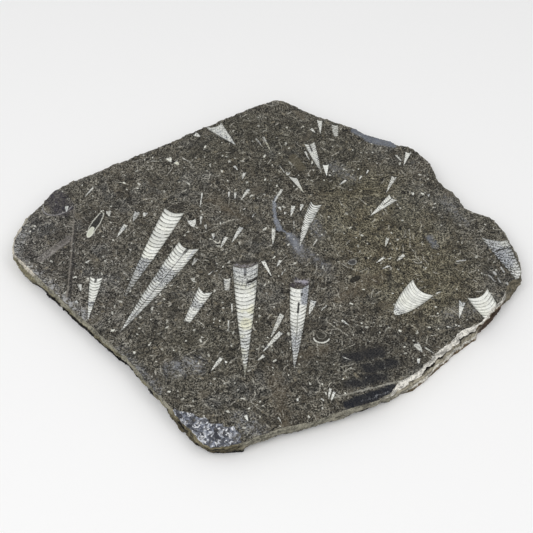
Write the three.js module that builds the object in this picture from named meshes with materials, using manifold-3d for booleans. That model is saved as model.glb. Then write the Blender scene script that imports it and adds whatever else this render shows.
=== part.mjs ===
// A polished slab of dark fossil limestone with broken sides, lying flat.
// Millimetres, +Z up. The polished face is on top and the sawn underside rests at z = 0.
// The stone is one solid: its fossils are colours in the flat face, so they have no shape here.

import * as THREE from 'three';
import { mergeVertices } from 'three/addons/utils/BufferGeometryUtils.js';
import Module from 'manifold-3d';

const THICKNESS = 16;
const STATION_STEP = 5;             // distance between two stations along the edge
const FOOT_REACH = 3;               // stations on each side whose middle the lower side follows
const SLAB_CENTRE = [-1.1, 15.8];    // middle of the outline's own coordinates, moved to the origin

// The polished face's edge, clockwise from the far apex, in stretches of one kind of break.
// rim: how far the chipped rim stands out past the face. drop: how far below the face it does so.
// recess: how deep the split under the rim is. ledge: how far the lower ledge stands out.
// foot: how far the underside's edge stands out past the face, or is set back where negative.
const STRETCHES = [
  {
    name: 'far right side', rim: 1.4, drop: 3.0, recess: 0.6, ledge: 1.6, foot: 0.6,
    points: [
      [9, 205], [19, 201.3], [27, 196], [33, 191], [41, 186.5], [50, 181], [61, 175.7],
      [71, 171.3], [84, 165], [91, 159.5], [95, 156.8], [108, 151.8], [115.5, 149.3],
    ],
  },
  {
    name: 'right shoulder', rim: 1.8, drop: 3.4, recess: 0.9, ledge: 2.0, foot: 1.0,
    points: [
      [118.5, 147], [121, 143.7], [131, 142.2], [136, 139.5], [140, 135], [143.5, 129],
      [147, 125.5], [150, 120], [152.5, 112], [153, 104], [156, 97], [161, 91], [167, 85],
      [170.5, 79], [173, 72], [175.5, 66.3], [183, 61], [191, 57.3],
    ],
  },
  {
    name: 'right end', rim: 1.8, drop: 3.0, recess: 0.5, ledge: 1.8, foot: 0.2,
    points: [
      [197.5, 55.5], [200.5, 51.5], [204.5, 45.5], [207.5, 38], [210, 30.5], [213, 21],
      [215.5, 12], [217.3, 3], [217, -5],
    ],
  },
  {
    name: 'broken right corner', rim: 4.6, drop: 6.0, recess: 0.6, ledge: 3.6, foot: 0.6,
    points: [[214.5, -12.5], [205, -16.5], [203, -21], [201, -26]],
  },
  {
    name: 'right rim', rim: 2.0, drop: 3.6, recess: 1.8, ledge: 2.4, foot: 1.6,
    points: [[199, -32], [195.5, -37], [190, -42], [185, -47.5], [181.5, -53], [176, -58.5]],
  },
  {
    name: 'lower right rim', rim: 2.8, drop: 3.6, recess: 2.4, ledge: 3.6, foot: 5.2,
    points: [
      [171, -62], [159.5, -67], [156, -70], [153.5, -74.5], [149, -79.5], [144.5, -82],
      [140.5, -86], [136, -88.8], [131.5, -95.5], [127, -98.5], [124, -103], [115, -110.5],
    ],
  },
  {
    name: 'front right corner', rim: 2.6, drop: 4.0, recess: 1.4, ledge: 1.6, foot: 0.2,
    points: [[104.5, -117], [98, -125.5]],
  },
  {
    name: 'front side', rim: 1.2, drop: 4.4, recess: 0.8, ledge: -0.4, foot: -4.2,
    points: [
      [92.5, -129], [87, -133], [80, -135.5], [66, -140], [52, -145], [46, -148],
      [36, -151.5], [30, -153.5], [21, -155], [9, -158.5], [2, -161], [-5, -163.5], [-12, -167],
    ],
  },
  {
    name: 'crystal corner', rim: 1.4, drop: 4.5, recess: 1.2, ledge: 1.6, foot: -0.4,
    points: [
      [-17, -170], [-29, -172.5], [-36, -173.3], [-42, -173], [-48, -170.5], [-52, -166.5],
      [-57, -160.5], [-62, -155], [-70, -146], [-73, -141.5],
    ],
  },
  {
    name: 'front left side', rim: 1.0, drop: 4.2, recess: 0.4, ledge: -0.4, foot: -3.0,
    points: [[-79, -134.5], [-83, -129], [-88, -124.5], [-93, -118.5], [-107, -99.5], [-113, -93]],
  },
  {
    name: 'left side', rim: 1.4, drop: 4.0, recess: 0.5, ledge: 1.0, foot: -0.6,
    points: [
      [-119, -87.5], [-124, -82], [-130, -77], [-140, -66], [-157, -50], [-170, -36],
      [-183, -23], [-196, -10],
    ],
  },
  {
    name: 'left corner', rim: 3.0, drop: 3.6, recess: 0.5, ledge: 3.2, foot: 1.8,
    points: [[-200, -5], [-207, 2.5], [-212, 7.5], [-217.5, 12.5]],
  },
  {
    name: 'left end', rim: 2.6, drop: 3.2, recess: 0.6, ledge: 2.2, foot: 0.4,
    points: [[-219, 20], [-219.5, 28], [-218, 34], [-215.5, 40], [-215, 45], [-213, 50]],
  },
  {
    name: 'far left end', rim: 1.4, drop: 3.0, recess: 0.6, ledge: 1.4, foot: 0.4,
    points: [[-210.5, 55.5], [-203.5, 66.5], [-199.5, 72.5], [-196.5, 78], [-194, 83], [-191, 87]],
  },
  {
    name: 'far left side', rim: 1.6, drop: 3.2, recess: 0.8, ledge: 1.8, foot: 0.8,
    points: [
      [-185, 91], [-179, 95.5], [-161, 105.5], [-138, 120], [-128, 124.7], [-119, 130.3],
      [-111, 136], [-101, 141], [-88, 148.5], [-84, 150.5], [-75, 157.5], [-69, 160],
      [-65, 164.3], [-58, 168], [-50, 171.5], [-36, 181], [-21, 188.5], [-12, 195], [0, 200.5],
    ],
  },
];

// The patch of rough crystals at the front corner: facets broken into the polished face.
const CRYSTAL_PATCH = {
  middle: [-44, -159.5], along: [0.86, -0.51], halfLength: 33, halfWidth: 12.5,
  columns: 11, rows: 4, size: 12, depth: 3.6,
};

const GOLDEN = (1 + Math.sqrt(5)) / 2;

// A repeatable number between 0 and 1 for a whole number n.
function scatter(n, salt) {
  return (n * GOLDEN + salt * Math.SQRT2 + 0.37) % 1;
}

// Broken stone: three waves with whole counts around the slab, so that the last station meets
// the first, plus one step per station. Each level of the side has waves of its own.
function roughness(turn, station, level) {
  const angle = 2 * Math.PI * turn;
  const waves = 0.45 * Math.sin(37 * angle + 2.1 * level)
    + 0.35 * Math.sin(61 * angle + 4.3 * level)
    + 0.25 * Math.sin(103 * angle + 1.7 * level);
  return waves + 0.9 * (scatter(station, level) - 0.5);
}

// Walks round the face's edge in equal steps. Each station has its point, its stretch's profile
// eased into the next one's, its outward direction, and the calmer line that the side's foot
// follows, because the bites out of the face's edge don't reach down to it.
function stationsAroundEdge() {
  const corners = STRETCHES.flatMap((stretch) => stretch.points.map((point) => ({ point, stretch })));
  const keys = ['rim', 'drop', 'recess', 'ledge', 'foot'];
  const stations = [];
  corners.forEach(({ point, stretch }, i) => {
    const next = corners[(i + 1) % corners.length];
    const length = Math.hypot(next.point[0] - point[0], next.point[1] - point[1]);
    const steps = Math.max(1, Math.round(length / STATION_STEP));
    for (let step = 0; step < steps; step++) {
      const t = step / steps;
      const profile = {};
      keys.forEach((key) => { profile[key] = stretch[key] * (1 - t) + next.stretch[key] * t; });
      stations.push({
        x: point[0] * (1 - t) + next.point[0] * t,
        y: point[1] * (1 - t) + next.point[1] * t,
        profile,
      });
    }
  });
  const count = stations.length;
  const reach = 2;                  // neighbours on each side that set the outward direction
  stations.forEach((station, i) => {
    const before = stations[(i - reach + count) % count];
    const after = stations[(i + reach) % count];
    const length = Math.hypot(after.x - before.x, after.y - before.y);
    station.out = [-(after.y - before.y) / length, (after.x - before.x) / length];
    station.calm = [0, 0];
    for (let k = -FOOT_REACH; k <= FOOT_REACH; k++) {
      const near = stations[(i + k + count) % count];
      station.calm[0] += near.x / (2 * FOOT_REACH + 1);
      station.calm[1] += near.y / (2 * FOOT_REACH + 1);
    }
  });
  return stations;
}

// The levels of the side, from the polished face down: how far out each stands, its height, how
// rough it is, and how far it has left the face's edge for the calmer line.
function sideLevels({ rim, drop, recess, ledge, foot }) {
  return [
    { out: 0, z: THICKNESS, rough: 0.3, calm: 0 },
    { out: rim * 0.65, z: THICKNESS - drop * 0.35, rough: 0.35, calm: 0.2 },
    { out: rim, z: THICKNESS - drop, rough: 0.7, calm: 0.5 },
    { out: rim - recess, z: THICKNESS - drop - 1.6, rough: 0.7, calm: 0.8 },
    { out: ledge, z: THICKNESS - drop - 3.2, rough: 0.8, calm: 1 },
    { out: ledge * 0.8 + foot * 0.2, z: 4.4, rough: 0.8, calm: 1 },
    { out: ledge * 0.25 + foot * 0.75, z: 1.8, rough: 0.6, calm: 1 },
    { out: foot, z: 0, rough: 0.4, calm: 1 },
  ];
}

function roughSlab() {
  const stations = stationsAroundEdge();
  const count = stations.length;
  const levelCount = sideLevels(stations[0].profile).length;
  const positions = [];
  for (let level = 0; level < levelCount; level++) {
    stations.forEach((station, i) => {
      const { out, z, rough, calm } = sideLevels(station.profile)[level];
      const reach = out + rough * roughness(i / count, i, level);
      positions.push(
        station.x * (1 - calm) + station.calm[0] * calm + station.out[0] * reach - SLAB_CENTRE[0],
        station.y * (1 - calm) + station.calm[1] * calm + station.out[1] * reach - SLAB_CENTRE[1],
        z,
      );
    });
  }
  const triangles = [];
  for (let level = 0; level < levelCount - 1; level++) {
    for (let i = 0; i < count; i++) {
      const a = level * count + i;
      const b = level * count + (i + 1) % count;
      const c = a + count;
      const d = b + count;
      triangles.push(a, b, d, a, d, c);
    }
  }
  for (const [level, up] of [[0, true], [levelCount - 1, false]]) {
    const first = level * count;
    const ring = stations.map((_, i) => new THREE.Vector2(
      positions[3 * (first + i)],
      positions[3 * (first + i) + 1],
    ));
    THREE.ShapeUtils.triangulateShape(ring, []).forEach((face) => {
      const points = face.map((k) => ring[k]);
      const turnsLeft = THREE.ShapeUtils.area(points) > 0;
      const [p, q, r] = face.map((k) => first + k);
      triangles.push(...(turnsLeft === up ? [p, q, r] : [p, r, q]));
    });
  }
  const geometry = new THREE.BufferGeometry();
  geometry.setAttribute('position', new THREE.Float32BufferAttribute(positions, 3));
  geometry.setIndex(triangles);
  return geometry;
}

// Blocks turned every way, whose corners bite flat-sided pits into the crystal corner.
function crystalBites() {
  const { middle, along, halfLength, halfWidth, columns, rows, size, depth } = CRYSTAL_PATCH;
  const bites = [];
  for (let n = 0; n < columns * rows; n++) {
    const u = ((n % columns) + 0.2 + 0.6 * scatter(n, 1)) / columns * 2 - 1;
    const v = (Math.floor(n / columns) + 0.2 + 0.6 * scatter(n, 2)) / rows * 2 - 1;
    const edge = size * (0.75 + 0.5 * scatter(n, 3));
    const block = new THREE.BoxGeometry(edge, edge, edge);
    block.rotateX(0.5 + 0.5 * scatter(n, 4));
    block.rotateY(0.4 + 0.5 * scatter(n, 5));
    block.rotateZ(2 * Math.PI * scatter(n, 6));
    block.computeBoundingBox();
    const bite = depth * (0.35 + 0.65 * scatter(n, 7)) * (1 - 0.45 * v * v);
    block.translate(
      middle[0] + along[0] * halfLength * u - along[1] * halfWidth * v - SLAB_CENTRE[0],
      middle[1] + along[1] * halfLength * u + along[0] * halfWidth * v - SLAB_CENTRE[1],
      THICKNESS - bite - block.boundingBox.min.z,
    );
    bites.push(block);
  }
  return bites;
}

const wasm = await Module();
wasm.setup();

function toSolid(geometry) {
  const bare = geometry.clone();
  bare.deleteAttribute('normal');
  bare.deleteAttribute('uv');
  const merged = mergeVertices(bare);
  return new wasm.Manifold(new wasm.Mesh({
    numProp: 3,
    vertProperties: new Float32Array(merged.attributes.position.array),
    triVerts: new Uint32Array(merged.index.array),
  }));
}

function toGeometry(solid) {
  const mesh = solid.getMesh();
  const geometry = new THREE.BufferGeometry();
  geometry.setAttribute('position', new THREE.BufferAttribute(mesh.vertProperties, 3));
  geometry.setIndex(new THREE.BufferAttribute(mesh.triVerts, 1));
  return geometry;
}

function fossilSlab() {
  const solid = crystalBites().reduce(
    (stone, bite) => stone.subtract(toSolid(bite)),
    toSolid(roughSlab()),
  );
  const limestone = new THREE.MeshStandardMaterial({ color: 0x5b5952, roughness: 0.35, metalness: 0 });
  const mesh = new THREE.Mesh(toGeometry(solid), limestone);
  mesh.name = 'fossil_slab';
  return mesh;
}

const part = new THREE.Group();
part.add(fossilSlab());

export default part;
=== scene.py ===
# A polished slab of dark fossil limestone, dressed around its CAD solid.
# Blender works in metres. The dictionaries below are in millimetres, in the outline's own coordinates.

import math

import bpy
import numpy as np
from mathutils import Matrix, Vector
from mathutils.geometry import delaunay_2d_cdt


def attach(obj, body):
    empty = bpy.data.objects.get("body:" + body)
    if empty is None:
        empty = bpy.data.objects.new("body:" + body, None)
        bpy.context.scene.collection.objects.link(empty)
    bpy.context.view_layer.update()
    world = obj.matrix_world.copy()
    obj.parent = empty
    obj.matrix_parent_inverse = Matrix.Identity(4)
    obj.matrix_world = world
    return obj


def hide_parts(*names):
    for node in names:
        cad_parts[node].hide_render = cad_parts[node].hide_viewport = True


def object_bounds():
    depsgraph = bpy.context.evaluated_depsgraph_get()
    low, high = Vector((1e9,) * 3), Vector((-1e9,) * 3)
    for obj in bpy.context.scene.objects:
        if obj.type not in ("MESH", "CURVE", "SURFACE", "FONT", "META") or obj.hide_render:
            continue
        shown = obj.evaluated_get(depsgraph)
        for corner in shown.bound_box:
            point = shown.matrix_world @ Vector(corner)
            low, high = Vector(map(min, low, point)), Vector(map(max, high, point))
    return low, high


mm = 0.001
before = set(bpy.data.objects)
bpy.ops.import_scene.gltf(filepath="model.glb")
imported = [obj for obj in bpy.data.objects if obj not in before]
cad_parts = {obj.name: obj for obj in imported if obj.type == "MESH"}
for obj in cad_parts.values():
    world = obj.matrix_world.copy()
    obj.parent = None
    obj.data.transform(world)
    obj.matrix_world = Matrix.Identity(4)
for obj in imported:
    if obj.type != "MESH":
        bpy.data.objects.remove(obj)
cadLow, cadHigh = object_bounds()
print("frame loaded")

slab = {
    "thickness": 16.0,
    "outlineCentre": (-1.1, 15.8),  # moved to the origin
    "stationStep": 5.0,             # between two stations of the CAD solid's edge
    "footReach": 3,                 # stations on each side whose middle the lower side follows
    "fineStations": 6,              # fine stations for each CAD station
    "fineLevels": 4,                # fine levels for each CAD level
    "splitDrop": 1.6,               # the split lies this far below the chipped rim
    "ledgeDrop": 3.2,               # and the lower ledge this far
    "waistHeight": 4.4,             # heights of the two levels between the ledge and the foot
    "footHeight": 1.8,
    "waves": [(0.45, 37, 2.1), (0.35, 61, 4.3), (0.25, 103, 1.7)],  # in and out: height, how many, shift
    "scatter": 0.9,                 # and how far single stations stray
    "relief": [                     # what breaks up the side: kind, size along, size down, depth, seed
        ("chips", 6.5, 4.0, 0.9, 11), ("chips", 2.2, 1.6, 0.42, 23),
        ("layers", 24.0, 0.9, 0.3, 31), ("layers", 1.3, 1.1, 0.12, 37)],
    "edgeRelief": [("chips", 4.2, 0.6, 41), ("layers", 1.9, 0.4, 43)],  # kind, size along, depth, seed
    "edgeChip": 0.7,                # how ragged the polished face's edge is
    "bands": (0.4, 0.46, 0.66, 0.85),  # where the side's finishes change, as shares of the way down
    "bandSoft": 0.02,               # half the share that a change of finish takes
    "bandWave": (6.0, 0.05, 47),    # how a finish's end waves: size along, height as a share, seed
    "toneSoft": 4,                  # fine stations on each side that a finish is blended over
    "toneWander": (9.0, 3.5, 9, 53),  # how finishes slip along: size along, size down, stations, seed
    "meshStep": 9.0,                # spacing of the loose points inside the flat faces
    "clearance": 0.01,              # how far the side stays inside the CAD solid's box
    "sharpAngle": 34,               # edges that turn by more degrees look sharp
}

finishes = ("face", "fossils", "side", "crystals", "underside")  # the order of the slab's materials

# Finishes of the broken side, as seen colours. Two of them are painted shade: the near-black of the split
# under the rim, and the black at the undercut foot, which is partly the stone's own stain.
sideTones = {
    "pale chip": (210, 207, 199), "taupe": (158, 152, 136), "white line": (208, 205, 196),
    # the near-black tone on the next line is painted shadow in the split under the chipped rim
    "lip brown": (96, 82, 64), "painted recess shade": (22, 19, 16), "olive": (128, 123, 102),
    # the black tone on the next line is partly the stone's stain and partly painted shadow under the undercut
    # foot and the split
    "undercut shadow and black stain": (14, 12, 11), "grey olive": (134, 131, 118), "rust": (64, 51, 42),
    "dark grain": (104, 98, 84), "ochre": (116, 109, 88), "dull": (108, 104, 93),
    "spotted": (88, 82, 66), "cream": (186, 180, 168),
}

# The polished face's edge, clockwise from the far apex, in stretches of one kind of break.
# rim, drop: how far the chipped rim stands out and below the face. recess: the split under it.
# ledge, foot: how far the lower ledge and the underside's edge stand out.
# tones: finishes of the five bands from the chipped rim down to the foot. bands: where the second to
# the fifth start, as shares of the way down.
# Some bands hold painted shade: the split under the rim and the undercut foot are darkened in colour.
stretches = [
    {"name": "far right side", "rim": 1.4, "drop": 3.0, "recess": 0.6, "ledge": 1.6, "foot": 0.6,
     "tones": ("dull", "dull", "dull", "grey olive", "grey olive"),
     "points": [(9, 205), (19, 201.3), (27, 196), (33, 191), (41, 186.5), (50, 181), (61, 175.7),
                (71, 171.3), (84, 165), (91, 159.5), (95, 156.8), (108, 151.8), (115.5, 149.3)]},
    {"name": "right shoulder", "rim": 1.8, "drop": 3.4, "recess": 0.9, "ledge": 2.0, "foot": 1.0,
     "tones": ("dull", "spotted", "grey olive", "grey olive", "dull"),
     "points": [(118.5, 147), (121, 143.7), (131, 142.2), (136, 139.5), (140, 135), (143.5, 129),
                (147, 125.5), (150, 120), (152.5, 112), (153, 104), (156, 97), (161, 91), (167, 85),
                (170.5, 79), (173, 72), (175.5, 66.3), (183, 61), (191, 57.3)]},
    {"name": "right end", "rim": 1.8, "drop": 3.0, "recess": 0.5, "ledge": 1.8, "foot": 0.2,
     "tones": ("grey olive", "spotted", "dull", "dull", "dull"),
     "points": [(197.5, 55.5), (200.5, 51.5), (204.5, 45.5), (207.5, 38), (210, 30.5), (213, 21),
                (215.5, 12), (217.3, 3), (217, -5)]},
    {"name": "broken right corner", "rim": 4.6, "drop": 6.0, "recess": 0.6, "ledge": 3.6, "foot": 0.6,
     "tones": ("dark grain", "dark grain", "dark grain", "dull", "dull"),
     "points": [(214.5, -12.5), (205, -16.5), (203, -21), (201, -26)]},
    {"name": "right rim", "rim": 2.0, "drop": 3.6, "recess": 1.8, "ledge": 2.4, "foot": 1.6,
     "tones": ("pale chip", "lip brown", "rust", "rust", "lip brown"),
     "bands": (0.15, 0.28, 0.6, 0.92),
     "points": [(199, -32), (195.5, -37), (190, -42), (185, -47.5), (181.5, -53), (176, -58.5)]},
    {"name": "lower right rim", "rim": 2.8, "drop": 3.6, "recess": 2.4, "ledge": 3.6, "foot": 5.2,
     # the second band is painted shadow in the split under the rim
     "tones": ("pale chip", "painted recess shade", "taupe", "white line", "lip brown"),
     "bands": (0.36, 0.53, 0.7, 0.83),
     "points": [(171, -62), (159.5, -67), (156, -70), (153.5, -74.5), (149, -79.5), (144.5, -82),
                (140.5, -86), (136, -88.8), (131.5, -95.5), (127, -98.5), (124, -103), (115, -110.5)]},
    {"name": "front right corner", "rim": 2.6, "drop": 4.0, "recess": 1.4, "ledge": 1.6, "foot": 0.2,
     "tones": ("pale chip", "taupe", "taupe", "grey olive", "spotted"),
     "points": [(104.5, -117), (98, -125.5)]},
    {"name": "front side", "rim": 1.2, "drop": 4.4, "recess": 0.8, "ledge": -0.4, "foot": -4.2,
     # the lowest band is painted shadow under the undercut foot, with the stone's black stain
     "tones": ("grey olive", "spotted", "grey olive", "grey olive", "undercut shadow and black stain"),
     "bands": (0.4, 0.44, 0.6, 0.78),
     "points": [(92.5, -129), (87, -133), (80, -135.5), (66, -140), (52, -145), (46, -148),
                (36, -151.5), (30, -153.5), (21, -155), (9, -158.5), (2, -161), (-5, -163.5),
                (-12, -167)]},
    {"name": "crystal corner", "rim": 1.4, "drop": 4.5, "recess": 1.2, "ledge": 1.6, "foot": -0.4,
     # the second and lowest bands are painted shadow under the rim and the undercut foot, with black stain
     "tones": ("ochre", "undercut shadow and black stain", "ochre", "spotted", "undercut shadow and black stain"),
     "bands": (0.2, 0.34, 0.52, 0.74),
     "points": [(-17, -170), (-29, -172.5), (-36, -173.3), (-42, -173), (-48, -170.5),
                (-52, -166.5), (-57, -160.5), (-62, -155), (-70, -146), (-73, -141.5)]},
    {"name": "front left side", "rim": 1.0, "drop": 4.2, "recess": 0.4, "ledge": -0.4, "foot": -3.0,
     # the two lowest bands are painted shadow under the undercut foot, with black stain
     "tones": ("grey olive", "olive", "olive", "undercut shadow and black stain", "undercut shadow and black stain"),
     "bands": (0.3, 0.4, 0.56, 0.8),
     "points": [(-79, -134.5), (-83, -129), (-88, -124.5), (-93, -118.5), (-107, -99.5),
                (-113, -93)]},
    {"name": "left side", "rim": 1.4, "drop": 4.0, "recess": 0.5, "ledge": 1.0, "foot": -0.6,
     # the two lowest bands are painted shadow under the undercut foot, with black stain
     "tones": ("grey olive", "olive", "olive", "undercut shadow and black stain", "undercut shadow and black stain"),
     "bands": (0.26, 0.4, 0.6, 0.8),
     "points": [(-119, -87.5), (-124, -82), (-130, -77), (-140, -66), (-157, -50), (-170, -36),
                (-183, -23), (-196, -10)]},
    {"name": "left corner", "rim": 3.0, "drop": 3.6, "recess": 0.5, "ledge": 3.2, "foot": 1.8,
     # the lowest band is painted shadow under the foot, with black stain
     "tones": ("cream", "olive", "olive", "olive", "undercut shadow and black stain"),
     "bands": (0.14, 0.4, 0.6, 0.86),
     "points": [(-200, -5), (-207, 2.5), (-212, 7.5), (-217.5, 12.5)]},
    {"name": "left end", "rim": 2.6, "drop": 3.2, "recess": 0.6, "ledge": 2.2, "foot": 0.4,
     "tones": ("cream", "cream", "grey olive", "grey olive", "spotted"),
     "points": [(-219, 20), (-219.5, 28), (-218, 34), (-215.5, 40), (-215, 45), (-213, 50)]},
    {"name": "far left end", "rim": 1.4, "drop": 3.0, "recess": 0.6, "ledge": 1.4, "foot": 0.4,
     "tones": ("grey olive", "spotted", "dull", "dull", "dull"),
     "points": [(-210.5, 55.5), (-203.5, 66.5), (-199.5, 72.5), (-196.5, 78), (-194, 83),
                (-191, 87)]},
    {"name": "far left side", "rim": 1.6, "drop": 3.2, "recess": 0.8, "ledge": 1.8, "foot": 0.8,
     "tones": ("dull", "spotted", "grey olive", "grey olive", "dull"),
     "points": [(-185, 91), (-179, 95.5), (-161, 105.5), (-138, 120), (-128, 124.7), (-119, 130.3),
                (-111, 136), (-101, 141), (-88, 148.5), (-84, 150.5), (-75, 157.5), (-69, 160),
                (-65, 164.3), (-58, 168), (-50, 171.5), (-36, 181), (-21, 188.5), (-12, 195),
                (0, 200.5)]},
]

# The patch of rough crystals that is broken into the polished face at the front corner.
crystalPatch = {
    "border": [(-76, -143), (-72, -141), (-60, -143), (-45, -150), (-38, -154), (-28, -157),
               (-22, -160), (-17, -172)],
    "outside": [(-20, -185), (-60, -185), (-90, -155)],  # closes the patch beyond the slab's edge
    "spacing": 0.75,
    "ramp": 2.6,      # from the polished face down to the crystals
    "crystal": 5.2,   # size of a crystal
    "grain": 1.9,     # size of the small ones between them
    "bigShare": 0.78,  # how much of the relief the large ones make
    "step": 0.5,      # the least drop from the polished face
    "depth": 3.4,
    "wave": 2.2,      # how far the border strays, and over what size
    "waveSize": 3.1,
}

# Chambered cones cut lengthwise by the polished face. left and right are the ends of the mouth.
# pitch: chamber length at the mouth and at the tip. sag: how far a chamber wall dips, as a share of
# the half width. taper: above 1 keeps the cone full and rounds its tip. reach: where it is cut off.
# siphon: the tube through the chambers, as place across (-1 to 1), half width, and end.
# scar: a crumbled, bluish stretch, as its middle, half length and strength.
# round: below 1 blunts the tip. walls: how thick the chamber walls look. lines: faint ones between.
# stain: from what share of its length on the cone turns bluish and dark-edged, and how much.
# thread: how far a thin line runs on from the siphon.
coneDefaults = {
    "pitch": (3.4, 2.0), "sag": 0.5, "taper": 1.2, "strength": 0.75, "bend": 0.0, "reach": None,
    "fade": 1.0, "ragged": 0.5, "siphon": (0.0, 0.0, 0.0), "tone": 1.0, "warmth": 0.0, "blotch": 0.15,
    "scar": (-50.0, 1.0, 0.0), "round": 1.0, "walls": 1.0, "lines": 0.0, "stain": (1.0, 0.0),
    "thread": 0.0,
}
cones = [
    {"name": "longest", "left": (-29, 1), "right": (-7, 4), "tip": (-17, -115), "pitch": (4.9, 2.7),
     "sag": 0.4, "taper": 1.25, "strength": 0.85, "siphon": (0.02, 1.15, 13), "warmth": 0.7,
     "blotch": 0.3, "fade": 9, "reach": 112, "scar": (14, 12, 0.55), "stain": (0.5, 0.8)},
    {"name": "second long", "left": (20, -21), "right": (36, -19), "tip": (22, -106),
     "pitch": (4.4, 2.6), "taper": 1.7, "blotch": 0.4, "fade": 12, "reach": 84, "scar": (56, 14, 0.7),
     "stain": (0.55, 0.7)},
    {"name": "left long", "left": (-90.5, 67), "right": (-73, 61), "tip": (-121.5, -38),
     "pitch": (4.7, 2.7), "sag": 0.4, "taper": 1.5, "warmth": 0.12, "reach": 100, "fade": 26,
     "blotch": 0.25, "scar": (68, 10, 1.0), "strength": 0.9, "stain": (0.56, 0.9)},
    {"name": "inner long", "left": (-76, 28), "right": (-58, 20), "tip": (-121, -70),
     "pitch": (3.6, 2.2), "taper": 1.55, "siphon": (-0.12, 1.3, 11), "reach": 106, "fade": 5,
     "blotch": 0.4, "scar": (40, 10, 0.9), "strength": 0.85, "stain": (0.4, 0.5), "thread": 96},
    {"name": "left short", "left": (-150, -10), "right": (-139, -11), "tip": (-147.5, -58),
     "pitch": (3.4, 2.2), "taper": 1.3, "siphon": (0.0, 1.0, 7), "blotch": 0.3, "scar": (29, 3, 0.9),
     "stain": (0.5, 0.3)},
    {"name": "middle short", "left": (-57, -21), "right": (-45, -27), "tip": (-75, -80),
     "pitch": (3.2, 2.2), "sag": 0.6, "taper": 1.1, "reach": 37, "siphon": (0.0, 1.5, 5), "blotch": 0.5,
     "tone": 0.95, "scar": (19, 5, 0.8)},
    {"name": "notch piece", "left": (-36.5, -12), "right": (-30.5, -12), "tip": (-33, -40),
     "pitch": (2.8, 2.2), "taper": 1.6, "reach": 14, "tone": 0.8, "blotch": 0.9, "ragged": 1.6},
    {"name": "curved", "left": (40, 75), "right": (50, 71), "tip": (28.5, 20), "pitch": (2.6, 1.8),
     "sag": 0.7, "taper": 1.7, "bend": 1.6, "blotch": 0.3, "strength": 1.0, "warmth": -0.1,
     "walls": 1.15},
    {"name": "far edge", "left": (-58, 168), "right": (-43, 174), "tip": (-28.5, 144), "pitch": (9, 5),
     "strength": 0.3, "tone": 0.84, "blotch": 1.0, "warmth": -0.1, "ragged": 1.2},
    {"name": "far top", "left": (35, 146), "right": (45, 149), "tip": (51, 106), "pitch": (2.8, 1.8),
     "tone": 0.88, "blotch": 0.7, "fade": 10, "reach": 38, "siphon": (0.1, 0.8, 12)},
    {"name": "far top small", "left": (51.5, 119.5), "right": (57.5, 120), "tip": (55, 104),
     "strength": 0.3, "tone": 0.95},
    {"name": "far rim", "left": (48, 178), "right": (53.5, 177), "tip": (51, 158), "pitch": (2.6, 1.8),
     "strength": 0.4, "tone": 0.9, "blotch": 0.6},
    {"name": "far banded", "left": (61.5, 172.5), "right": (68, 171), "tip": (66, 140),
     "pitch": (2.6, 2.2), "taper": 2.0, "reach": 16, "tone": 0.72, "strength": 1.0, "ragged": 1.0,
     "blotch": 0.6},
    {"name": "beige", "left": (20, 105), "right": (28, 103), "tip": (34, 84), "strength": 0.15,
     "tone": 0.7, "warmth": 0.5, "pitch": (5, 4), "fade": 2, "blotch": 0.5},
    {"name": "right needle", "left": (111, 83), "right": (118, 76), "tip": (91, 56),
     "pitch": (2.6, 1.8), "strength": 0.6, "siphon": (0.0, 0.5, 14), "tone": 0.95, "blotch": 0.4},
    {"name": "right upper", "left": (114.5, 105.5), "right": (119.5, 104), "tip": (107, 82),
     "pitch": (2.4, 1.8), "strength": 0.7, "blotch": 0.8, "tone": 0.85, "ragged": 1.0},
    {"name": "shoulder", "left": (129.5, 136), "right": (135, 135), "tip": (126, 117),
     "pitch": (2.6, 2.0), "strength": 0.5, "tone": 0.9, "blotch": 0.5},
    {"name": "fat", "left": (124.5, -13.5), "right": (140.5, -30.5), "tip": (106, -50.5),
     "pitch": (3.0, 2.7), "sag": 0.42, "taper": 1.8, "warmth": 0.1, "round": 0.6, "blotch": 0.06,
     "ragged": 0.3, "walls": 0.62, "lines": 0.9, "scar": (34, 4, 0.7)},
    {"name": "right rim", "left": (168, -33), "right": (186, -23), "tip": (196, -72),
     "pitch": (3.6, 2.6), "sag": 0.45, "taper": 2.2, "strength": 0.65, "warmth": 0.15, "walls": 0.8,
     "blotch": 0.2, "reach": 31},
    {"name": "right thin", "left": (161, -35), "right": (166.5, -38), "tip": (159, -55),
     "pitch": (2.6, 2.0), "strength": 0.35, "tone": 0.92, "blotch": 0.4, "scar": (2, 4, 0.8)},
    {"name": "right end", "left": (187.5, 33), "right": (211, 30), "tip": (226, -42),
     "pitch": (3.8, 3.0), "sag": 0.34, "taper": 1.0, "reach": 58, "warmth": -0.12, "blotch": 1.6,
     "strength": 1.0, "ragged": 2.2, "scar": (22, 11, 1.0), "stain": (0.25, 0.3)},
]

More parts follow.
